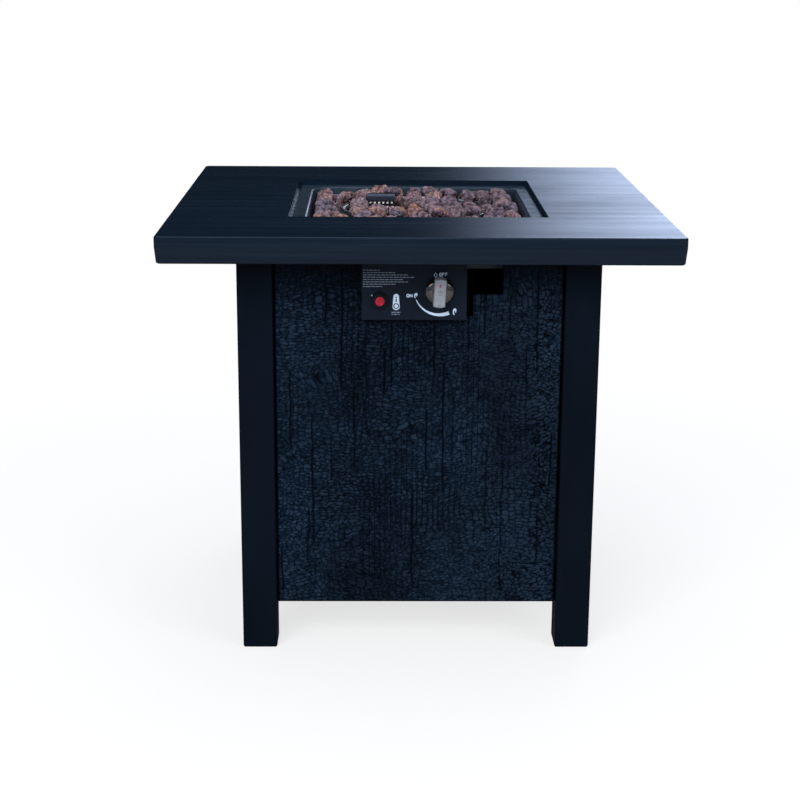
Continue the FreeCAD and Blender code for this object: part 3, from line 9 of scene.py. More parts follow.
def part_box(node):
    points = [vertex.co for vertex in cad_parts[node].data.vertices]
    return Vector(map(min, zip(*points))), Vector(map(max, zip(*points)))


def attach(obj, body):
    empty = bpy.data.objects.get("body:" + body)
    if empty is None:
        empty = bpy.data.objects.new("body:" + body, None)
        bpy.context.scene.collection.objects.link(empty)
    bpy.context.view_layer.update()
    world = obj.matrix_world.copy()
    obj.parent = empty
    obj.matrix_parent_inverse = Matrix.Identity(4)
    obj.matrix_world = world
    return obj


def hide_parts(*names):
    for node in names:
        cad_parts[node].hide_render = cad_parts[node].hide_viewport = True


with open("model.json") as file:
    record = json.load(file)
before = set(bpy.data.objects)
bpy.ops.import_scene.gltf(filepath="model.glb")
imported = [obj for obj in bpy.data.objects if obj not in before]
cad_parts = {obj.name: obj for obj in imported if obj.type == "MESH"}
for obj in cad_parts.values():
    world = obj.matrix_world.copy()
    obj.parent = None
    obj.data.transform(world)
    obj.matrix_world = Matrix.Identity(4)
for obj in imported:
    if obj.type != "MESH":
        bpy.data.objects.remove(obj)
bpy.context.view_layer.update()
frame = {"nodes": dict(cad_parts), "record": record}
nodes = frame["nodes"]
MM = 0.001

# Camera, fitted to the photograph: a place in metres, angles in degrees, focal length in pixels
camera_place = (-0.0588, -2.5578, 1.0164)
camera_pitch = 15.46
camera_yaw = 0.818
camera_roll = 0.359
focal_pixels = 1682.3
photo_side = 800
sensor_width = 36.0

# Panels: mesh step, relief depth and border, in metres
relief_step = 1.15 * MM
relief_depth = 1.5 * MM
edge_fall = 2.0 * MM
most_quads = 85000
cell_width = 8.4 * MM
cell_height = 4.5 * MM
wave_pitch = 4.4 * MM
warp_margin = 20.0 * MM
split_count = 26
split_fade = 12.0 * MM

# Coarse band near a board's right edge
band_cell_width = 6.8 * MM
band_cell_height = 4.7 * MM
gash_width = 8.5 * MM
gash_height = 5.2 * MM
grid_pitch = 7.8 * MM

# Cut-outs at the top of the front board, measured from the table's middle and the board's top edge
cut_left = -72.0 * MM
cut_right = 76.0 * MM
cut_depth = 90.5 * MM
notch_right = 117.5 * MM
notch_depth = 60.0 * MM

# Studio
floor_tone = 0.88
floor_seen_by_object = 0.10
floor_in_gloss = 0.06
floor_lift = 0.72
floor_near = 0.50
floor_far = 1.5
floor_half = 14.0
room_colour = (0.13, 0.17, 0.22)
room_behind = 0.05
room_fade = (-0.5, 0.4)
window_colour = (2.4, 2.9, 4.0)
window_across = (0.03, 0.22, 0.24, 0.34)
window_upright = (-0.20, -0.02, 0.24, 0.34)
window_behind = (0.3, 0.6)
warm_window_way = (-0.62, -0.63, 0.47)
warm_window_colour = (1.35, 1.0, 0.75)
pale_window_way = (0.67, -0.60, 0.44)
pale_window_colour = (0.60, 0.60, 0.58)
small_window_edge = (0.955, 0.975)
sky_window_way = (0.0, 0.25, 0.97)
sky_window_colour = (0.75, 0.85, 1.05)
sky_window_edge = (0.78, 0.98)
lamp_colour = (0.93, 0.97, 1.0)

# Rocks
rock_detail = 4
top_rock_parts = 4
rock_roundness = 13.0
rock_fill = 1.12
knob_cell = 9.0 * MM
knob_depth = 3.4 * MM
lump_cell = 15.0 * MM
lump_depth = 3.2 * MM
grit_cell = 2.2 * MM
grit_depth = 1.5 * MM
pore_cell = 4.4 * MM
pore_depth = 2.6 * MM

# Bright sleeve inside the pilot guard: a painted highlight that stands in for the glints seen through its
# holes
guard_radius = 10.5 * MM
sleeve_gap = 1.0 * MM
sleeve_wall = 0.2 * MM
sleeve_short = 1.5 * MM
sleeve_drop = 30.0 * MM

# Prints on the control plate, in millimetres from the table's middle and the floor
print_lift = 0.06
letter_gap = 1.2
off_word = {"left": 28.0, "base": 558.9, "tall": 4.4, "wide": 2.8, "half_width": 0.55}
on_word = {"left": -17.4, "base": 528.9, "tall": 4.2, "wide": 3.3, "half_width": 0.6}
off_drop = (22.6, 560.4)
on_flame = {"x": -5.2, "base": 527.2, "tall": 7.4, "wide": 4.6}
on_flame_heart = {"x": -4.9, "base": 528.3, "tall": 3.2, "wide": 1.7}
low_flame = {"x": 49.2, "base": 503.4, "tall": 9.6, "wide": 5.0}
low_flame_heart = {"x": 49.5, "base": 504.9, "tall": 4.6, "wide": 2.0}
flow_sweep = {"radius": 35.0, "start": 203.0, "end": 293.0, "thin": 0.5, "thick": 2.7}
battery_sign_x = -32.2
battery_sign = {"low": 510.4, "high": 533.6, "half_low": 5.3, "half_high": 3.7}
battery_ring = {"z": 516.2, "half_x": 3.4, "half_z": 3.4, "half_width": 0.75}
battery_bar = ((522.4, 1.0), (526.4, 0.7))
battery_dot = {"z": 528.5, "half_x": 0.5, "half_z": 0.5, "half_width": 0.5}
# White dot at the edge of the igniter's bezel: a painted highlight.
igniter_glint = {"x": -65.9, "z": 531.1, "half_x": 0.6, "half_z": 0.6, "half_width": 0.5}
notice_left = -78.5
notice_top = 567.0
notice_pitch = 3.3
notice_ends = (-53.5, -34.0, -16.0, -7.5, -21.5, -16.0, -32.5, -51.5)
caption_left = -38.6
caption_right = -26.2
caption_top = 507.4
caption_pitch = 3.0
dash_short = 2.2
dash_extra = 4.5
dash_gap = 1.1
dash_least = 1.5

# Marks on the knob's grip, in millimetres above or below the knob's axis
grip_turn = 3.0
grip_mark_top = 13.2
grip_mark_long = 4.2
grip_mark_half = 1.1
grip_arc_half = 0.35


# Node trees

def tree_of(material):
    """Empties a material's node tree and returns it with its output."""
    material.use_nodes = True
    tree = material.node_tree
    tree.nodes.clear()
    return tree, tree.nodes.new("ShaderNodeOutputMaterial")


def put(socket, value, tree):
    """Links a socket's source, or sets its value."""
    if isinstance(value, bpy.types.NodeSocket):
        tree.links.new(value, socket)
    else:
        socket.default_value = value


def add(tree, kind, inputs=(), **settings):
    """A new node with its settings, and with values or links on its inputs."""
    made = tree.nodes.new("ShaderNode" + kind)
    for name, value in settings.items():
        setattr(made, name, value)
    for name, value in dict(inputs).items():
        put(made.inputs[name], value, tree)
    return made


def mapped(tree, scale):
    """The object's own coordinates in metres, scaled along each axis."""
    place = add(tree, "TexCoord").outputs["Object"]
    return add(tree, "Mapping", {"Vector": place, "Scale": scale}).outputs["Vector"]


def noise_at(tree, scale, size=1.0, detail=4.0, roughness=0.55):
    """Noise from 0 to 1 over the object's own coordinates."""
    made = add(tree, "TexNoise", {
        "Vector": mapped(tree, scale),
        "Scale": size,
        "Detail": detail,
        "Roughness": roughness,
    })
    return made.outputs["Fac"]


def ramp(tree, value, stops):
    """Colours along a value: stops are pairs of place and colour."""
    made = add(tree, "ValToRGB", {"Fac": value})
    points = made.color_ramp.elements
    while len(points) < len(stops):
        points.new(0.5)
    for point, (place, colour) in zip(points, stops):
        point.position = place
        point.color = (*colour, 1.0)
    return made.outputs["Color"]


def spread(tree, value, low, high, start=0.0, end=1.0, **settings):
    """A value mapped from one range to another."""
    return add(tree, "MapRange", {
        "Value": value, "From Min": start, "From Max": end, "To Min": low, "To Max": high,
    }, **settings).outputs["Result"]


def smooth_spread(tree, value, low, high, start, end):
    """A value mapped from one range to another, easing in and out."""
    return spread(tree, value, low, high, start, end, interpolation_type="SMOOTHSTEP")


def join(tree, operation, one, two):
    """Two numbers put together by a Math node."""
    return add(tree, "Math", {0: one, 1: two}, operation=operation).outputs[0]


def join_colours(tree, operation, one, two):
    """Two colours put together channel by channel."""
    return add(tree, "VectorMath", {0: one, 1: two}, operation=operation).outputs[0]


def dimmed(tree, colour, level):
    """A colour times a level."""
    return add(tree, "VectorMath", {0: colour, "Scale": level}, operation="SCALE").outputs[0]


def relief_of(tree):
    """The height from 0 to 1 that the mesh code wrote on the piece."""
    return add(tree, "Attribute", attribute_name="relief").outputs["Fac"]


def bumps(tree, height, strength, distance, below=None):
    """A bump from a height, on top of another bump."""
    inputs = {"Height": height, "Strength": strength, "Distance": distance}
    if below is not None:
        inputs["Normal"] = below
    return add(tree, "Bump", inputs).outputs["Normal"]


def finish(name, colour, rough, normal=None, metal=0.0, **sockets):
    """A material with one surface shader. Colour and roughness are functions of the tree, or values."""
    material = bpy.data.materials.new(name)
    tree, output = tree_of(material)
    surface = add(tree, "BsdfPrincipled")
    for socket, value in (("Base Color", colour), ("Roughness", rough), ("Normal", normal)):
        if value is None:
            continue
        value = value(tree) if callable(value) else value
        if isinstance(value, tuple):
            value = (*value, 1.0)
        put(surface.inputs[socket], value, tree)
    surface.inputs["Metallic"].default_value = metal
    for socket, value in sockets.items():
        surface.inputs[socket.replace("_", " ")].default_value = value
    tree.links.new(surface.outputs[0], output.inputs["Surface"])
    return material


def mottled(dark, light, scale, size=1.0, detail=4.0, low=0.3, high=0.7):
    """A colour that wanders between two colours."""
    return lambda tree: ramp(tree, noise_at(tree, scale, size, detail), [(low, dark), (high, light)])


def wandering(low, high, scale, size=1.0, detail=4.0):
    """A value that wanders between two values."""
    return lambda tree: spread(tree, noise_at(tree, scale, size, detail), low, high, 0.3, 0.7)


def fine_bump(scale, size, strength, distance, detail=3.0):
    """Fine noise as a bump."""
    return lambda tree: bumps(tree, noise_at(tree, scale, size, detail), strength, distance)


# Materials

def slab_paint():
    """Satin navy paint over brushed grain that runs from left to right."""
    def streaks(tree):
        return noise_at(tree, (2.2, 190.0, 190.0), 1.0, 6.0, 0.62)

    def colour(tree):
        return ramp(tree, streaks(tree), [
            (0.30, (0.0024, 0.0068, 0.0145)),
            (0.55, (0.0044, 0.0108, 0.0225)),
            (0.78, (0.0092, 0.0185, 0.0345)),
        ])

    def rough(tree):
        broad = noise_at(tree, (3.0, 9.0, 9.0), 1.0, 3.0)
        both = join(tree, "ADD", streaks(tree), broad)
        return spread(tree, both, 0.19, 0.31, 0.7, 1.3)

    def normal(tree):
        under = bumps(tree, noise_at(tree, (9.0, 90.0, 90.0), 1.0, 3.0), 0.05, 0.0005)
        return bumps(tree, streaks(tree), 0.10, 0.0002, under)

    return finish("slab_paint", colour, rough, normal, Specular_IOR_Level=0.36)


def panel_paint():
    """Dark satin paint on the relief. Its colour follows the relief's height: near black in the cracks and
    low parts, a painted shade, and lighter bluish navy on the raised cells, a painted highlight.
    """
    def patches(tree):
        return noise_at(tree, (7.0, 7.0, 5.0), 1.0, 4.0)

    def fine_cracks(tree):
        made = add(tree, "TexVoronoi", {
            "Vector": mapped(tree, (230.0, 230.0, 420.0)), "Scale": 1.0,
        }, feature="DISTANCE_TO_EDGE")
        return made.outputs["Distance"]

    def colour(tree):
        # Painted shade low on the relief and painted highlight on the raised cells, from the height the
        # mesh code wrote.
        base = ramp(tree, relief_of(tree), [
            (0.10, (0.0002, 0.0009, 0.0024)),
            (0.38, (0.0011, 0.0038, 0.0094)),
            (0.66, (0.0046, 0.0112, 0.0230)),
            (0.95, (0.0130, 0.0250, 0.0450)),
        ])
        tone = spread(tree, patches(tree), 0.60, 1.50, 0.35, 0.68)
        # Darker along the fine cracks: a painted shade.
        line = spread(tree, fine_cracks(tree), 0.55, 1.0, 0.0, 0.10)
        return dimmed(tree, base, join(tree, "MULTIPLY", tone, line))

    def rough(tree):
        return spread(tree, patches(tree), 0.50, 0.38, 0.35, 0.7)

    def normal(tree):
        under = bumps(tree, spread(tree, fine_cracks(tree), 0.0, 1.0, 0.0, 0.12), 0.35, 0.0004)
        return bumps(tree, noise_at(tree, (900.0, 900.0, 900.0), 1.0, 3.0), 0.30, 0.0003, under)

    return finish("panel_paint", colour, rough, normal, Specular_IOR_Level=0.10)


def frame_paint():
    """Black powder coat."""
    return finish(
        "frame_paint",
        mottled((0.0016, 0.0042, 0.0088), (0.0030, 0.0064, 0.0128), (14.0, 14.0, 5.0)),
        wandering(0.36, 0.50, (30.0, 30.0, 12.0)),
        fine_bump((1400.0, 1400.0, 1400.0), 1.0, 0.22, 0.0002),
        Specular_IOR_Level=0.12,
    )


def plate_paint():
    """Satin black paint on the control plate."""
    return finish(
        "plate_paint",
        mottled((0.0050, 0.0088, 0.0170), (0.0076, 0.0122, 0.0225), (22.0, 22.0, 22.0)),
        wandering(0.40, 0.52, (60.0, 60.0, 60.0)),
        fine_bump((1800.0, 1800.0, 1800.0), 1.0, 0.15, 0.0002),
        Specular_IOR_Level=0.25,
    )


def pan_paint():
    """Heat-proof grey-blue paint, a little worn."""
    return finish(
        "pan_paint",
        mottled((0.016, 0.027, 0.042), (0.031, 0.046, 0.066), (26.0, 26.0, 26.0)),
        wandering(0.24, 0.40, (40.0, 40.0, 40.0)),
        fine_bump((600.0, 600.0, 600.0), 1.0, 0.12, 0.0003),
        0.25,
    )


def brushed(name, dark, light, rough_low, rough_high, along=(1.0, 1.0, 1.0), size=220.0):
    """Brushed metal with fine lines and a slow change of tone."""
    return finish(
        name,
        mottled(dark, light, (30.0, 30.0, 30.0)),
        wandering(rough_low, rough_high, along, size),
        lambda tree: bumps(tree, noise_at(tree, along, size, 3.0), 0.12, 0.0002),
        1.0,
    )


def heat_tinted_steel():
    """Stainless tube with straw and blue heat colours."""
    def colour(tree):
        return ramp(tree, noise_at(tree, (18.0, 18.0, 30.0), 1.0, 3.0), [
            (0.30, (0.62, 0.60, 0.57)),
            (0.52, (0.70, 0.69, 0.67)),
            (0.66, (0.60, 0.50, 0.36)),
            (0.80, (0.38, 0.40, 0.47)),
        ])

    return finish(
        "heat_tinted_steel",
        colour,
        wandering(0.18, 0.32, (300.0, 300.0, 300.0)),
        fine_bump((500.0, 500.0, 500.0), 1.0, 0.10, 0.0002),
        1.0,
    )


def chrome():
    """Polished disc with a warm grey tone and faint turning marks."""
    return finish(
        "chrome",
        mottled((0.22, 0.198, 0.188), (0.31, 0.285, 0.27), (90.0, 90.0, 90.0)),
        wandering(0.07, 0.13, (200.0, 200.0, 200.0)),
        fine_bump((700.0, 30.0, 700.0), 1.0, 0.03, 0.0002),
        1.0,
    )


def satin_silver():
    """Satin silver paint on the grip."""
    return finish(
        "satin_silver",
        mottled((0.29, 0.305, 0.35), (0.36, 0.375, 0.42), (120.0, 120.0, 60.0)),
        wandering(0.38, 0.48, (300.0, 300.0, 300.0)),
        fine_bump((2500.0, 2500.0, 2500.0), 1.0, 0.10, 0.0001),
        0.15,
    )


def moulded(name, dark, light, rough_low=0.36, rough_high=0.50, **sockets):
    """Moulded plastic with a fine surface grain."""
    return finish(
        name,
        mottled(dark, light, (60.0, 60.0, 60.0)),
        wandering(rough_low, rough_high, (150.0, 150.0, 150.0)),
        fine_bump((2200.0, 2200.0, 2200.0), 1.0, 0.12, 0.0001),
        **sockets,
    )


def ink(name, dark, light):
    """Screen-printed ink, a little uneven."""
    return finish(
        name,
        mottled(dark, light, (900.0, 900.0, 900.0)),
        wandering(0.5, 0.65, (500.0, 500.0, 500.0)),
        fine_bump((4000.0, 4000.0, 4000.0), 1.0, 0.1, 0.00005),
    )


def lava():
    """Porous volcanic rock: each stone has its own red-brown or mauve tone. Its pores and low parts are
    darkened as painted shade, and its high parts a little lightened as painted highlight.
    """
    def pits(tree):
        made = add(tree, "TexVoronoi", {"Vector": mapped(tree, (420.0, 420.0, 420.0)), "Scale": 1.0})
        return made.outputs["Distance"]

    def colour(tree):
        own = add(tree, "NewGeometry").outputs["Random Per Island"]
        tone = ramp(tree, own, [
            (0.00, (0.142, 0.112, 0.140)),
            (0.22, (0.198, 0.143, 0.166)),
            (0.45, (0.238, 0.156, 0.168)),
            (0.65, (0.178, 0.150, 0.185)),
            (0.88, (0.268, 0.172, 0.168)),
            (0.95, (0.310, 0.168, 0.112)),
            (1.00, (0.240, 0.208, 0.212)),
        ])
        grit = ramp(tree, noise_at(tree, (330.0, 330.0, 330.0), 1.0, 5.0, 0.7), [
            (0.30, (0.30, 0.28, 0.30)),
            (0.48, (0.92, 0.90, 0.92)),
            (0.70, (1.75, 1.70, 1.72)),
        ])
        # Darker in the pits: a painted shade of the pores.
        holes = ramp(tree, pits(tree), [(0.12, (0.25, 0.22, 0.22)), (0.32, (1.0, 1.0, 1.0))])
        # Darker low on each stone and a little lighter high up: painted shade and painted highlight.
        crevice_shade_and_highlight = ramp(tree, relief_of(tree), [
            (0.12, (0.16, 0.14, 0.16)),
            (0.40, (0.66, 0.63, 0.66)),
            (0.72, (1.20, 1.18, 1.20)),
        ])
        for share in (grit, crevice_shade_and_highlight, holes):
            tone = join_colours(tree, "MULTIPLY", tone, share)
        return tone

    def normal(tree):
        sunk = spread(tree, pits(tree), 0.0, 1.0, 0.05, 0.45)
        under = bumps(tree, noise_at(tree, (260.0, 260.0, 260.0), 1.0, 6.0, 0.7), 0.7, 0.0016)
        return bumps(tree, sunk, 0.75, 0.0010, under)

    rough = wandering(0.82, 0.95, (200.0, 200.0, 200.0))
    return finish("lava", colour, rough, normal, Specular_IOR_Level=0.25)


def make_materials():
    """Every finish, by the name of the record's material slot."""
    return {
        "slab": slab_paint(),
        "panel": panel_paint(),
        "frame_paint": frame_paint(),
        "plate_paint": plate_paint(),
        "pan_steel": pan_paint(),
        "stainless": heat_tinted_steel(),
        "zinc_steel": brushed("zinc_steel", (0.17, 0.175, 0.185), (0.27, 0.275, 0.29), 0.34, 0.50),
        "dark_steel": brushed("dark_steel", (0.10, 0.11, 0.14), (0.19, 0.20, 0.24), 0.22, 0.36),
        "brass": brushed("brass", (0.60, 0.42, 0.16), (0.72, 0.54, 0.24), 0.22, 0.36),
        "copper": brushed("copper", (0.52, 0.26, 0.14), (0.66, 0.36, 0.22), 0.25, 0.40),
        "aluminium": brushed("aluminium", (0.60, 0.61, 0.63), (0.72, 0.73, 0.75), 0.28, 0.42),
        "valve_alloy": brushed("valve_alloy", (0.44, 0.45, 0.46), (0.58, 0.59, 0.60), 0.38, 0.55),
        "chrome": chrome(),
        "satin_grip": satin_silver(),
        "black_plastic": moulded(
            "black_plastic", (0.0028, 0.0045, 0.0080), (0.0055, 0.0080, 0.0125), Specular_IOR_Level=0.35,
        ),
        "red_plastic": moulded("red_plastic", (0.34, 0.010, 0.026), (0.46, 0.020, 0.040), 0.20, 0.32),
        "cell_wrap": moulded("cell_wrap", (0.10, 0.10, 0.11), (0.15, 0.15, 0.16), 0.3, 0.4),
        "ceramic": moulded("ceramic", (0.60, 0.58, 0.53), (0.74, 0.72, 0.67), 0.55, 0.7),
        "lead_rubber": moulded("lead_rubber", (0.010, 0.010, 0.011), (0.020, 0.020, 0.022), 0.5, 0.65),
        "lava": lava(),
    }


def dress_nodes(finishes):
    """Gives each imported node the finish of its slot."""
    for row in frame["record"]["subparts"]:
        paint(nodes[row["node"]], finishes[row["material_slot"]])


def paint(piece, material):
    """Gives a piece one material."""
    piece.data.materials.clear()
    piece.data.materials.append(material)


# Pieces

def mesh_piece(name, points, faces, material, body, smooth=True):
    """A new mesh piece that rides on a body."""
    mesh = bpy.data.meshes.new(name)
    mesh.from_pydata([tuple(p) for p in points], [], faces)
    mesh.update()
    if smooth:
        mesh.polygons.foreach_set("use_smooth", [True] * len(mesh.polygons))
    piece = bpy.data.objects.new(name, mesh)
    bpy.context.scene.collection.objects.link(piece)
    mesh.materials.append(material)
    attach(piece, body)
    return piece


def write_relief(piece, values):
    """Keeps each point's height on the piece, for its material, which paints shade on the low parts and
    highlight on the high parts from it.
    """
    layer = piece.data.attributes.new("relief", "FLOAT", "POINT")
    layer.data.foreach_set("value", values.astype(np.float32))


def smooth_noise(u, v, cell_u, cell_v, chance):
    """Smooth noise from 0 to 1 over two coordinates, with features of about one cell."""
    rows, columns = int(u.max() / cell_u) + 3, int(v.max() / cell_v) + 3
    grid = chance.random((rows, columns))
    iu, iv = np.floor(u / cell_u).astype(int), np.floor(v / cell_v).astype(int)
    fu, fv = u / cell_u - iu, v / cell_v - iv
    fu, fv = fu * fu * (3 - 2 * fu), fv * fv * (3 - 2 * fv)
    low = grid[iu, iv] * (1 - fu) + grid[iu + 1, iv] * fu
    high = grid[iu, iv + 1] * (1 - fu) + grid[iu + 1, iv + 1] * fu
    return low * (1 - fv) + high * fv


def step_up(value, start, end):
    """A smooth step from 0 to 1."""
    t = np.clip((value - start) / (end - start), 0, 1)
    return t * t * (3 - 2 * t)


def cells(u, v, wide, high, jitter, chance):
    """Nearest and next distance to scattered points, in cell units, and the nearest cell's own value."""
    pu, pv = u / wide, v / high
    rows, columns = int(pu.max()) + 4, int(pv.max()) + 4
    spot_u = chance.random((rows, columns)) * jitter + (1 - jitter) / 2
    spot_v = chance.random((rows, columns)) * jitter + (1 - jitter) / 2
    own = chance.random((rows, columns))
    iu, iv = np.floor(pu).astype(int), np.floor(pv).astype(int)
    first = np.full(u.shape, 9.0)
    second = np.full(u.shape, 9.0)
    value = np.zeros(u.shape)
    for du in (-1, 0, 1):
        for dv in (-1, 0, 1):
            ju, jv = np.clip(iu + du, 0, rows - 1), np.clip(iv + dv, 0, columns - 1)
            away = np.hypot(iu + du + spot_u[ju, jv] - pu, iv + dv + spot_v[ju, jv] - pv)
            nearer = away < first
            second = np.where(nearer, first, np.minimum(second, away))
            value = np.where(nearer, own[ju, jv], value)
            first = np.where(nearer, away, first)
    return first, second, value


def wander(u, v, cell_u, cell_v, reach, chance):
    """Smooth noise about zero, in metres, as wide as its reach."""
    return (smooth_noise(u, v, cell_u, cell_v, chance) - 0.5) * reach


def charred_relief(u, v, width, height, seed):
    """Height from 0 to 1 of cracked charred wood: cells in wavy rows, upright splits and coarse lumps.

    Cell sizes and reaches are in metres. The shares were found beside the photograph.
    """
    chance = np.random.default_rng(seed)
    sway_u = wander(u, v, 0.050, 0.050, 0.022, chance)
    sway_v = wander(u, v, 0.070, 0.040, 0.026, chance)
    ripple_u = wander(u, v, 0.013, 0.009, 0.005, chance)
    ripple_v = wander(u, v, 0.016, 0.012, 0.005, chance)
    wu, wv = u + sway_u + ripple_u + warp_margin, v + sway_v + ripple_v + warp_margin
    strong = smooth_noise(u, v, 0.06, 0.09, chance)
    first, second, own = cells(wu, wv, cell_width, cell_height, 0.8, chance)
    crack = 1 - step_up(second - first, 0.02, 0.26)
    level = 0.66 + 0.34 * own - 0.20 * first
    level = level * (1 - (0.55 + 0.35 * strong) * crack)
    level = level * (1 - 0.55 * wave_cracks(wu, wv, chance))
    level = level * (1 - 0.60 * grid_cracks(u, v, width, sway_u, chance))
    level += 0.16 * (smooth_noise(u, v, 0.0030, 0.0024, chance) - 0.5)
    level = coarse_band(level, u, v, wu, wv, width, height, chance)
    level = level * lift_and_painted_top_shade(u, v, width, height)
    return np.clip(level * splits(u, v, width, height, chance), 0, 1)


def lift_and_painted_top_shade(u, v, width, height):
    """Cells stand a little higher to the right and near the bottom, and so render lighter there. Under the
    top edge they sit lower and render darker: a painted shade of the slab's overhang.
    """
    right = step_up(u, width * 0.55, width * 0.82)
    low = 1 - step_up(v, height * 0.08, height * 0.45)
    # Painted shade under the slab's overhang.
    under_top = step_up(v, height * 0.84, height * 0.97)
    return (1 + 0.24 * right) * (1 + 0.09 * low) * (1 - 0.24 * under_top)


def wave_cracks(wu, wv, chance):
    """Short wavy cracks that run across, in broken rows."""
    rows = np.abs(np.sin(math.pi * wv / wave_pitch))
    present = step_up(smooth_noise(wu, wv, 0.011, 0.0045, chance), 0.42, 0.62)
    return (1 - step_up(rows, 0.10, 0.45)) * present


def grid_cracks(u, v, width, sway, chance):
    """Fine upright cracks close together, in patches near the middle of the board."""
    lines = np.abs(np.sin(math.pi * (u + sway * 0.15) / grid_pitch))
    patch = step_up(smooth_noise(u, v, 0.035, 0.075, chance), 0.45, 0.65)
    middle = 1 - 0.6 * step_up(np.abs(u - width * 0.5), width * 0.18, width * 0.36)
    return (1 - step_up(lines, 0.08, 0.36)) * patch * middle


def coarse_band(level, u, v, wu, wv, width, height, chance):
    """Deeper and larger lumps along the right edge, up the middle heights, and at the lower right."""
    across, up = u / width, v / height
    upright = step_up(across, 0.88, 0.92) * (1 - step_up(across, 0.968, 0.985))
    upright = upright * step_up(up, 0.02, 0.06) * (1 - step_up(up, 0.86, 0.95))
    low = step_up(across, 0.60, 0.84) * (1 - step_up(up, 0.10, 0.24))
    share = np.maximum(upright, 0.75 * low)
    first, second, own = cells(wu, wv, band_cell_width, band_cell_height, 1.0, chance)
    lumps = (0.50 + 0.85 * own - 0.25 * first) * step_up(second - first, 0.03, 0.26)
    winding = np.abs(smooth_noise(u, v, gash_width, gash_height, chance) - 0.5)
    present = step_up(smooth_noise(u, v, 0.018, 0.016, chance), 0.40, 0.65)
    lumps = lumps * (1 - 0.92 * (1 - step_up(winding, 0.01, 0.065)) * present)
    return level * (1 - share) + lumps * share


def splits(u, v, width, height, chance):
    """Long upright cracks: 1 on the surface and nearly 0 at the bottom of a crack."""
    surface = np.ones(u.shape)
    for number in range(split_count):
        middle = (number + chance.random()) / split_count * width
        start = chance.random() * height * 0.8
        length = height * (0.08 + 0.40 * chance.random())
        deep = 0.45 + 0.55 * chance.random()
        sway = (smooth_noise(v, v * 0 + number * 0.01, 0.03, 0.02, chance) - 0.5) * 0.003
        across = np.abs(u - middle - sway)
        end = start + length
        ends = step_up(v, start, start + split_fade) * (1 - step_up(v, end, end + split_fade))
        groove = (1 - step_up(across, 0.4 * MM, 1.8 * MM)) * ends
        surface = surface * (1 - deep * groove)
    return surface


def relief_panel(name, node, out, material, body, slot, seed, is_cut=None):
    """A board with the charred relief on its outer face, in upright strips, standing for its plain node.

    out is the outer face's normal. is_cut tells from x and z which points are cut away.
    """
    low, high = (np.array(corner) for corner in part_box(node))
    out = np.array(out, float)
    up = np.array((0.0, 0.0, 1.0))
    side = np.cross(up, out)
    size = high - low
    width, height, thick = abs(size @ side), size[2], abs(size @ out)
    corner = (low + high) / 2 - side * width / 2 - up * height / 2 + out * thick / 2
    columns, rows = round(width / relief_step) + 1, round(height / relief_step) + 1
    u, v = np.meshgrid(np.linspace(0, width, columns), np.linspace(0, height, rows), indexing="ij")
    # The level shapes the face and also sets its colour: cracks, low parts and edges get painted shade,
    # raised cells painted highlight.
    level = charred_relief(u, v, width, height, seed)
    edge = np.minimum(np.minimum(u, width - u), np.minimum(v, height - v))
    level = np.clip(level * step_up(edge, 0, edge_fall), 0, 1)
    flat = corner + u[..., None] * side + v[..., None] * up
    front = flat - ((1 - level) * relief_depth)[..., None] * out
    back = flat - thick * out
    strips = math.ceil(columns * rows / most_quads)
    ends = np.linspace(0, columns - 1, strips + 1).round().astype(int)
    for number, (start, end) in enumerate(zip(ends, ends[1:])):
        part = slice(start, end + 1)
        grids = front[part], back[part], level[part]
        piece = strip(f"{name}_{number}", *grids, is_cut, material, body, slot)
        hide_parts(node)


def strip(name, front, back, level, is_cut, material, body, slot):
    """One closed strip of a board, from its grids of front points, back points and levels."""
    columns, rows = level.shape
    kept = np.ones((columns - 1, rows - 1), bool)
    if is_cut:
        centre = (back[:-1, :-1] + back[1:, 1:]) / 2
        kept = ~is_cut(centre[..., 0], centre[..., 2])
    index = np.arange(columns * rows).reshape(columns, rows)
    i, j = np.nonzero(kept)
    faces = np.stack([index[i, j], index[i + 1, j], index[i + 1, j + 1], index[i, j + 1]], 1).tolist()
    rim = rim_edges(faces)
    starts = sorted({edge[0] for edge in rim})
    behind = {number: level.size + count for count, number in enumerate(starts)}
    points = np.vstack([front.reshape(-1, 3), back.reshape(-1, 3)[starts]])
    faces += [[two, one, behind[one], behind[two]] for one, two in rim]
    piece = mesh_piece(name, points, faces, material, body)
    write_relief(piece, np.append(level.ravel(), np.zeros(len(starts))))
    close_back(piece)
    return piece


def rim_edges(faces):
    """Edges that only one face has, in that face's direction."""
    seen = set()
    for one, two, three, four in faces:
        seen.update(((one, two), (two, three), (three, four), (four, one)))
    return [edge for edge in seen if (edge[1], edge[0]) not in seen]


def close_back(piece):
    """Closes the open back of a board and drops loose points."""
    mesh = bmesh.new()
    mesh.from_mesh(piece.data)
    bmesh.ops.holes_fill(mesh, edges=[edge for edge in mesh.edges if edge.is_boundary], sides=0)
    loose = [vert for vert in mesh.verts if not vert.link_faces]
    bmesh.ops.delete(mesh, geom=loose, context="VERTS")
    mesh.to_mesh(piece.data)
    mesh.free()


def in_front_cut(x, z):
    """The control plate's opening in the front panel, and the notch beside it."""
    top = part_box("front_panel")[1][2]
    plate_part = (x > cut_left) & (x < cut_right) & (z > top - cut_depth)
    notch_part = (x > cut_left) & (x < notch_right) & (z > top - notch_depth)
    return plate_part | notch_part


def make_panels(material):
    """The three boards of the table and the door's board."""
    relief_panel("front_board", "front_panel", (0, -1, 0), material, "table", "panel", 11, in_front_cut)
    relief_panel("right_board", "right_panel", (1, 0, 0), material, "table", "panel", 12)
    relief_panel("left_board", "left_panel", (-1, 0, 0), material, "table", "panel", 13)
    relief_panel("door_board", "door_panel", (0, 1, 0), material, "door", "panel", 14)


# Lava rocks

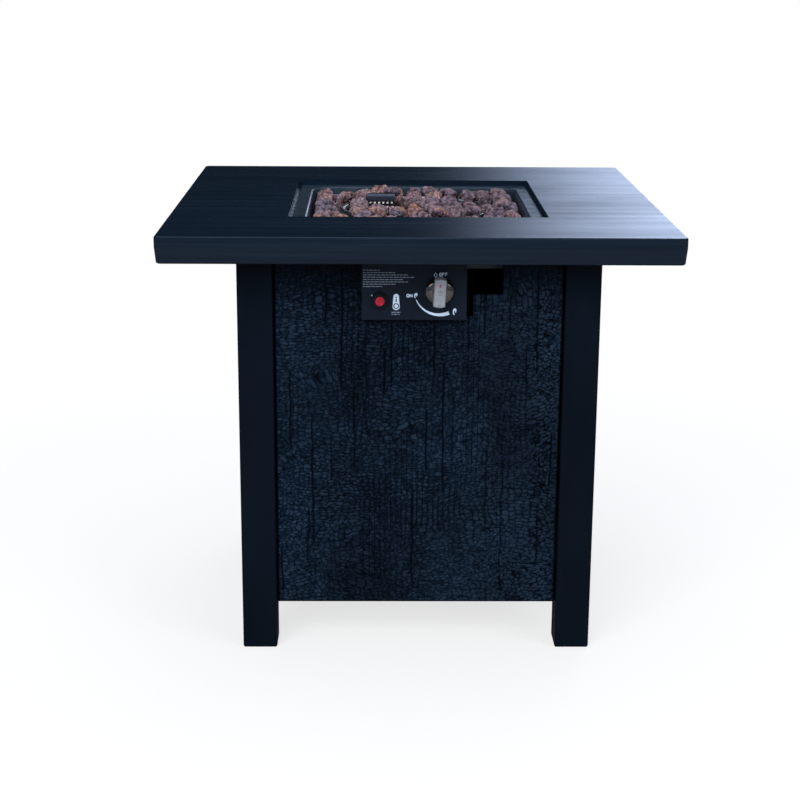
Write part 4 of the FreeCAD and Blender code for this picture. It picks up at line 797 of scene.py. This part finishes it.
def islands(node):
    """Each loose part of a node's mesh, as an array of its points."""
    mesh = bmesh.new()
    mesh.from_mesh(nodes[node].data)
    mesh.transform(nodes[node].matrix_world)
    bmesh.ops.remove_doubles(mesh, verts=mesh.verts[:], dist=0.01 * MM)
    found, done = [], set()
    for first in mesh.verts:
        if first in done:
            continue
        group, edge_of = [first], [first]
        done.add(first)
        while edge_of:
            for edge in edge_of.pop().link_edges:
                for vert in edge.verts:
                    if vert not in done:
                        done.add(vert)
                        group.append(vert)
                        edge_of.append(vert)
        found.append(np.array([vert.co[:] for vert in group]))
    mesh.free()
    return found


def hull_planes(points):
    """Outward normals and distances of the hull's faces, seen from the middle of the points."""
    middle = points.mean(0)
    mesh = bmesh.new()
    for point in points - middle:
        mesh.verts.new(point)
    bmesh.ops.convex_hull(mesh, input=mesh.verts[:])
    mesh.normal_update()
    planes = {}
    for face in mesh.faces:
        normal = np.array(face.normal[:])
        away = float(normal @ np.array(face.verts[0].co[:]))
        if away < 0:
            normal, away = -normal, -away
        planes[tuple(np.round(normal, 2))] = (*normal, away)
    mesh.free()
    table = np.array(list(planes.values()))
    return middle, table[:, :3], table[:, 3]


def ball(detail):
    """Points and triangles of a unit ball made from an icosahedron."""
    mesh = bmesh.new()
    bmesh.ops.create_icosphere(mesh, subdivisions=detail, radius=1.0)
    points = np.array([vert.co[:] for vert in mesh.verts])
    faces = np.array([[vert.index for vert in face.verts] for face in mesh.faces])
    mesh.free()
    return points, faces


def solid_noise(points, cell, grid):
    """Smooth noise from 0 to 1 at points in space, repeating past the grid's side."""
    side = grid.shape[0]
    scaled = points / cell
    whole = np.floor(scaled).astype(int)
    part = scaled - whole
    part = part * part * (3 - 2 * part)
    total = np.zeros(len(points))
    for dx in (0, 1):
        for dy in (0, 1):
            for dz in (0, 1):
                share = np.prod(np.where(np.array((dx, dy, dz)) == 1, part, 1 - part), axis=1)
                x, y, z = ((whole + (dx, dy, dz)) % side).T
                total += share * grid[x, y, z]
    return total


def pores(points, cell, spots):
    """Distance, in cells, from points to the nearest of the scattered pore centres."""
    side = spots.shape[0]
    scaled = points / cell
    whole = np.floor(scaled).astype(int)
    nearest = np.full(len(points), 9.0)
    for dx in (-1, 0, 1):
        for dy in (-1, 0, 1):
            for dz in (-1, 0, 1):
                near = whole + (dx, dy, dz)
                x, y, z = (near % side).T
                away = np.linalg.norm(near + spots[x, y, z] - scaled, axis=1)
                nearest = np.minimum(nearest, away)
    return nearest


def stone(points, rays, chance_grid, spots):
    """A craggy stone in a rock's hull, with knobs, creases and pores, and its height from 0 to 1."""
    middle, normals, away = hull_planes(points)
    facing = np.clip(rays @ normals.T, 1e-6, None) / away
    reach = np.power(np.power(facing, rock_roundness).sum(1), -1 / rock_roundness) * rock_fill
    surface = middle + rays * reach[:, None]
    creases = np.clip(pores(surface, knob_cell, spots) / 0.85, 0, 1) ** 1.6
    lumps = 1 - solid_noise(surface, lump_cell, chance_grid)
    grit = 1 - solid_noise(surface, grit_cell, chance_grid)
    dents = np.clip(1 - pores(surface + knob_cell, pore_cell, spots) / 0.40, 0, 1) ** 0.7
    sunk = creases * knob_depth + lumps * lump_depth + grit * grit_depth + dents * pore_depth
    deepest = knob_depth + lump_depth + grit_depth + pore_depth
    return middle + rays * (reach - sunk)[:, None], 1 - 1.5 * sunk / deepest


def rock_piece(name, node, detail, part, parts, material):
    """One share of a node's rocks, as a piece."""
    chance = np.random.default_rng(5)
    grid, spots = chance.random((24, 24, 24)), chance.random((24, 24, 24, 3))
    rays, triangles = ball(detail)
    found = islands(node)[part::parts]
    stones = [stone(rock, rays, grid, spots) for rock in found]
    points = np.vstack([surface for surface, level in stones])
    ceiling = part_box(node)[1][2]
    points[:, 2] = np.minimum(points[:, 2], ceiling)
    faces = np.vstack([triangles + number * len(rays) for number in range(len(found))])
    piece = mesh_piece(name, points, faces.tolist(), material, "table")
    write_relief(piece, np.concatenate([level for surface, level in stones]).clip(0, 1))
    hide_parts(node)


def make_rocks(material):
    """The rocks that show, in a few pieces, and the coarser ones below them in one."""
    for part in range(top_rock_parts):
        rock_piece(f"lava_top_{part}", "lava_rocks_top", rock_detail, part, top_rock_parts, material)
    rock_piece("lava_base", "lava_rocks_base", rock_detail - 1, 0, 1, material)


# Pilot guard

def arch_line(radius, drop, steps=24):
    """Points across an arch: an upright side, a half circle over the top and the other side."""
    round_part = [(radius * math.cos(math.pi * n / steps), radius * math.sin(math.pi * n / steps))
                  for n in range(steps + 1)]
    return [(radius, -drop), *round_part, (-radius, -drop)]


def make_glint_sleeve(material):
    """A thin bright arch just inside the guard, from end to end: a painted highlight, standing in for the
    glints seen through the guard's holes.
    """
    low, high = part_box("pilot_guard")
    y, z = (low[1] + high[1]) / 2, high[2] - guard_radius
    outer = arch_line(guard_radius - sleeve_gap, sleeve_drop)
    inner = arch_line(guard_radius - sleeve_gap - sleeve_wall, sleeve_drop)
    section = outer + inner[::-1]
    count = len(section)
    ends = (low[0] + sleeve_short, high[0] - sleeve_short)
    points = [(x, y + across, z + rise) for x in ends for across, rise in section]
    faces = [(n, (n + 1) % count, count + (n + 1) % count, count + n) for n in range(count)]
    for n in range(len(outer) - 1):
        cap = (n, n + 1, count - 2 - n, count - 1 - n)
        faces.append(cap[::-1])
        faces.append(tuple(count + corner for corner in cap))
    mesh_piece("glint_sleeve", points, faces, material, "table", smooth=False)


# Prints

def strokes(name, lines, front, thick, material, body, turn=None):
    """Flat bands of ink. Each line is a list of (x, z, half width) in millimetres."""
    points, faces = [], []
    for line in lines:
        faces += band_faces(len(points), len(line))
        points += band_points(line, front, thick)
    if turn:
        points = [turn(Vector(p)) for p in points]
    return mesh_piece(name, points, faces, material, body, smooth=False)


def band_points(line, front, thick):
    """Four corners across a band at each point of its line, in metres."""
    path = [np.array(row[:2], float) for row in line]
    closed = len(path) > 2 and np.allclose(path[0], path[-1])
    points = []
    for number, (here, row) in enumerate(zip(path, line)):
        before, after = path[max(number - 1, 0)], path[min(number + 1, len(path) - 1)]
        if closed and number in (0, len(path) - 1):
            before, after = path[-2], path[1]
        along = (after - before) / np.linalg.norm(after - before)
        across = np.array((-along[1], along[0])) * row[2]
        for depth in (front, front + thick):
            for side in (here + across, here - across):
                points.append((side[0] * MM, depth * MM, side[1] * MM))
    return points


def band_faces(first, count):
    """The four sides of each stretch of a band, and its two ends."""
    faces = []
    last = first + 4 * (count - 1)
    for a in range(first, last, 4):
        b = a + 4
        faces += [(a, a + 1, b + 1, b), (a + 2, b + 2, b + 3, a + 3)]
        faces += [(a, b, b + 2, a + 2), (a + 1, a + 3, b + 3, b + 1)]
    faces += [(first, first + 2, first + 3, first + 1), (last, last + 1, last + 3, last + 2)]
    return faces


def ring_line(x, z, half_x, half_z, half_width, steps=20, start=0.0, end=360.0):
    """An oval line, or an arc of it. Angles are in degrees, from +X towards +Z."""
    line = []
    for number in range(steps + 1):
        angle = math.radians(start + (end - start) * number / steps)
        line.append((x + half_x * math.cos(angle), z + half_z * math.sin(angle), half_width))
    return line


def letter_lines(word, left, base, tall, wide, half_width):
    """Plain stroke letters for the words ON and OFF."""
    lines = []
    for letter in word:
        top, right, middle = base + tall, left + wide, base + tall * 0.52
        if letter == "O":
            lines.append(ring_line(left + wide / 2, base + tall / 2, wide / 2, tall / 2, half_width))
        strokes_of = {
            "O": (),
            "F": ((left, base, left, top), (left, top, right, top), (left, middle, right - 0.4, middle)),
            "N": ((left, base, left, top), (left, top, right, base), (right, base, right, top)),
        }
        for x1, z1, x2, z2 in strokes_of[letter]:
            lines.append([(x1, z1, half_width), (x2, z2, half_width)])
        left = right + letter_gap
    return lines


def flame_line(x, base, tall, wide):
    """A filled flame: narrow at the tip, full near the base, and leaning a little."""
    line = []
    for number in range(13):
        t = number / 12
        half = wide / 2 * math.sin(math.pi * min(1.0, 0.06 + 0.94 * t) ** 0.62) ** 0.9
        lean = 0.12 * wide * math.sin(math.pi * 2 * t)
        line.append((x + lean, base + tall * (1 - t), max(half, 0.05)))
    return line


def sweep_line(x, z, radius, start, end, thin, thick, steps=28):
    """An arc about a centre that grows from thin to thick."""
    line = []
    for number in range(steps + 1):
        t = number / steps
        angle = math.radians(start + (end - start) * t)
        half = thin + (thick - thin) * t
        line.append((x + radius * math.cos(angle), z + radius * math.sin(angle), half))
    return line


def capsule_line(x, low, high, half_low, half_high):
    """A filled upright capsule with round ends, narrower at one end."""
    line = []
    for number in range(25):
        t = number / 24
        half = half_low + (half_high - half_low) * t
        near = min(t, 1 - t) * (high - low)
        end = half_low if t < 0.5 else half_high
        if near < end:
            half *= math.sqrt(max(1 - (1 - near / end) ** 2, 0.0004))
        line.append((x, low + (high - low) * t, half))
    return line


def sign_lines(knob_x, knob_z):
    """White signs: the words, the flames, the sweep round the knob and the battery sign, and a white dot
    at the igniter's bezel that is a painted highlight.
    """
    x, z = off_drop
    return [
        *letter_lines("OFF", **off_word),
        *letter_lines("ON", **on_word),
        ring_line(x, z, 1.9, 2.5, 0.4),
        [(x, z + 4.2, 0.1), (x, z + 2.2, 0.6)],
        flame_line(**on_flame),
        flame_line(**low_flame),
        sweep_line(knob_x, knob_z, **flow_sweep),
        capsule_line(battery_sign_x, **battery_sign),
        # Painted highlight at the igniter's bezel.
        ring_line(**igniter_glint, steps=10),
    ]


def mark_lines():
    """Dark marks on the battery sign and in the flames."""
    return [
        ring_line(battery_sign_x, **battery_ring),
        [(battery_sign_x, z, half_width) for z, half_width in battery_bar],
        ring_line(battery_sign_x, **battery_dot, steps=10),
        flame_line(**on_flame_heart),
        flame_line(**low_flame_heart),
    ]


def notice_lines():
    """Ruled lines where the plate has small print."""
    chance = np.random.default_rng(3)
    lines = []
    for number, right in enumerate(notice_ends):
        lines += dashes(chance, notice_left, right, notice_top - number * notice_pitch, 0.55)
    for number in range(2):
        lines += dashes(chance, caption_left, caption_right, caption_top - number * caption_pitch, 0.6)
    return lines


def grip_lines(x, z):
    """Small plain arcs on the grip."""
    half = grip_arc_half
    return [
        ring_line(x, z - 1.0, 3.2, 4.4, half, 10, 35, 145),
        ring_line(x, z - 3.4, 2.2, 2.6, half, 8, 35, 145),
        ring_line(x, z - 14.5, 2.0, 2.4, half, 8, 215, 325),
    ]


def make_plate_prints(white, faint, dark):
    """Prints on the face of the control plate."""
    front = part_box("control_plate")[0][1] / MM - print_lift
    strokes("plate_signs", sign_lines(*knob_middle()), front, print_lift, white, "table")
    strokes("plate_marks", mark_lines(), front - print_lift, print_lift, dark, "table")
    strokes("plate_lines", notice_lines(), front, print_lift, faint, "table")


def make_grip_prints(dark, red):
    """Prints on the face of the grip, which stands a little turned."""
    x, z = knob_middle()
    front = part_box("knob_grip")[0][1] / MM - print_lift
    turn = Matrix.Rotation(math.radians(grip_turn), 4, "Y")
    about = Vector((x * MM, 0, z * MM))

    def on_grip(point):
        return about + turn @ (point - about)

    top = z + grip_mark_top
    mark = [(x, top - grip_mark_long, grip_mark_half), (x, top, grip_mark_half)]
    strokes("grip_mark", [mark], front, print_lift, red, "knob", on_grip)
    strokes("grip_lines", grip_lines(x, z), front, print_lift, dark, "knob", on_grip)


def dashes(chance, left, right, z, half_width):
    """A ruled line broken into short dashes, as a plain stand-in for small print."""
    lines = []
    while left < right - dash_least:
        end = min(left + dash_short + dash_extra * chance.random(), right)
        lines.append([(left, z, half_width), (end, z, half_width)])
        left = end + dash_gap
    return lines


# Studio

def seen_straight(tree):
    """1 for what the camera sees, straight or through glass."""
    path = add(tree, "LightPath").outputs
    return join(tree, "MAXIMUM", path["Is Camera Ray"], path["Is Transmission Ray"])


def floor_paper():
    """Pale paper that keeps the object's shadow and melts into plain white further out."""
    material = bpy.data.materials.new("floor")
    tree, output = tree_of(material)
    gloss = add(tree, "LightPath").outputs["Is Glossy Ray"]
    shine = join(tree, "MULTIPLY", gloss, floor_in_gloss)
    pale = join(tree, "MAXIMUM", seen_straight(tree), shine)
    place = add(tree, "TexCoord").outputs["Object"]
    away = add(tree, "VectorMath", {0: place}, operation="LENGTH").outputs["Value"]
    far = smooth_spread(tree, away, 0.0, 1.0, floor_near, floor_far)
    share = join(tree, "MULTIPLY", spread(tree, far, floor_lift, 1.0), pale)
    paper = add(tree, "BsdfDiffuse", {"Color": spread(tree, pale, floor_seen_by_object, floor_tone)})
    white = add(tree, "Emission")
    white.inputs["Color"].default_value = (1.0, 1.0, 1.0, 1.0)
    white.inputs["Strength"].default_value = 1.0
    mixed = add(tree, "MixShader", {"Fac": share})
    tree.links.new(paper.outputs[0], mixed.inputs[1])
    tree.links.new(white.outputs[0], mixed.inputs[2])
    tree.links.new(mixed.outputs[0], output.inputs["Surface"])
    return material


def make_floor():
    """The floor under the table."""
    mesh = bpy.data.meshes.new("floor")
    half = floor_half
    corners = [(-half, -half, 0), (half, -half, 0), (half, half, 0), (-half, half, 0)]
    mesh.from_pydata(corners, [], [(0, 1, 2, 3)])
    floor = bpy.data.objects.new("floor", mesh)
    bpy.context.scene.collection.objects.link(floor)
    mesh.materials.append(floor_paper())


def window(tree, value, start, full, fade, end):
    """1 between full and fade, falling smoothly to 0 at start and end."""
    rise = smooth_spread(tree, value, 0.0, 1.0, start, full)
    fall = smooth_spread(tree, value, 1.0, 0.0, fade, end)
    return join(tree, "MULTIPLY", rise, fall)


def low_window(tree, parts):
    """Light of the low window behind the table, by the parts of a direction."""
    across = window(tree, parts["X"], *window_across)
    upright = window(tree, parts["Z"], *window_upright)
    behind = spread(tree, parts["Y"], 0.0, 1.0, *window_behind)
    glow = join(tree, "MULTIPLY", join(tree, "MULTIPLY", across, upright), behind)
    return dimmed(tree, window_colour, glow)


def round_window(tree, way, towards, colour, edge):
    """Light of a round window that lies towards a direction."""
    near = add(tree, "VectorMath", {0: way, 1: towards}, operation="DOT_PRODUCT").outputs["Value"]
    return dimmed(tree, colour, spread(tree, near, 0.0, 1.0, *edge))


def make_world():
    """White behind the object for the camera. Light and gloss come from a dim bluish room with windows."""
    world = bpy.data.worlds.new("studio")
    bpy.context.scene.world = world
    world.use_nodes = True
    tree = world.node_tree
    tree.nodes.clear()
    output = tree.nodes.new("ShaderNodeOutputWorld")
    way = add(tree, "TexCoord").outputs["Generated"]
    parts = add(tree, "SeparateXYZ", {"Vector": way}).outputs
    room = dimmed(tree, room_colour, spread(tree, parts["Y"], 1.0, room_behind, *room_fade))
    room = join_colours(tree, "ADD", low_window(tree, parts), room)
    for row in (
        (warm_window_way, warm_window_colour, small_window_edge),
        (pale_window_way, pale_window_colour, small_window_edge),
        (sky_window_way, sky_window_colour, sky_window_edge),
    ):
        room = join_colours(tree, "ADD", room, round_window(tree, way, *row))
    mixed = add(tree, "Mix", {"Factor": seen_straight(tree)}, data_type="RGBA")
    tree.links.new(room, mixed.inputs[6])
    mixed.inputs[7].default_value = (1.0, 1.0, 1.0, 1.0)
    sky = add(tree, "Background")
    tree.links.new(mixed.outputs[2], sky.inputs["Color"])
    tree.links.new(sky.outputs[0], output.inputs["Surface"])


def soft_lamp(name, place, aim, size, power):
    """A large soft lamp that points at a place. Highlights come from the world's windows instead."""
    lamp = bpy.data.lights.new(name, "AREA")
    lamp.shape = "RECTANGLE"
    lamp.size, lamp.size_y = size
    lamp.energy = power
    lamp.color = lamp_colour
    holder = bpy.data.objects.new(name, lamp)
    bpy.context.scene.collection.objects.link(holder)
    holder.location = place
    holder.visible_glossy = False
    holder.rotation_euler = (Vector(aim) - Vector(place)).to_track_quat("-Z", "Y").to_euler()


def make_lamps():
    """Four soft lamps round the table. Sizes are in metres and powers in watts."""
    soft_lamp("key", place=(-1.3, -3.3, 2.2), aim=(0, 0, 0.4), size=(2.4, 2.0), power=125)
    soft_lamp("fill", place=(2.6, -2.3, 1.6), aim=(0, 0, 0.35), size=(2.2, 2.2), power=55)
    soft_lamp("top", place=(0.0, 0.2, 3.6), aim=(0, 0, 0.5), size=(3.2, 3.2), power=55)
    soft_lamp("back", place=(1.0, 3.2, 2.0), aim=(0, 0, 0.4), size=(2.4, 2.0), power=45)


def make_camera():
    """The camera at the photograph's place, with its angles and focal length."""
    lens = bpy.data.cameras.new("camera")
    lens.sensor_width = sensor_width
    lens.lens = focal_pixels / photo_side * sensor_width
    lens.clip_end = 100.0
    camera = bpy.data.objects.new("camera", lens)
    bpy.context.scene.collection.objects.link(camera)
    yaw, pitch, roll = (math.radians(a) for a in (camera_yaw, camera_pitch, camera_roll))
    tilt = Matrix.Rotation(math.pi / 2 - pitch, 4, "X") @ Matrix.Rotation(roll, 4, "Z")
    camera.matrix_world = Matrix.Translation(camera_place) @ Matrix.Rotation(-yaw, 4, "Z") @ tilt
    bpy.context.scene.camera = camera


def knob_middle():
    """The knob's axis in the front view, in millimetres."""
    low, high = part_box("control_knob")
    return (low[0] + high[0]) / 2 / MM, (low[2] + high[2]) / 2 / MM


def main():
    """Builds the studio and dresses the table."""
    make_camera()
    make_world()
    make_lamps()
    make_floor()
    finishes = make_materials()
    dress_nodes(finishes)
    make_panels(finishes["panel"])
    make_rocks(finishes["lava"])
    # The bright sleeve in the guard is a painted highlight standing in for glints.
    make_glint_sleeve(finishes["ceramic"])
    white = ink("ink_white", (0.56, 0.68, 0.86), (0.66, 0.79, 0.95))
    faint = ink("ink_faint", (0.17, 0.21, 0.28), (0.27, 0.33, 0.42))
    dark = ink("ink_dark", (0.015, 0.017, 0.020), (0.03, 0.032, 0.036))
    red = ink("ink_red", (0.40, 0.03, 0.04), (0.52, 0.05, 0.06))
    make_plate_prints(white, faint, dark)
    make_grip_prints(dark, red)
    bpy.context.scene.view_settings.view_transform = "Standard"


main()
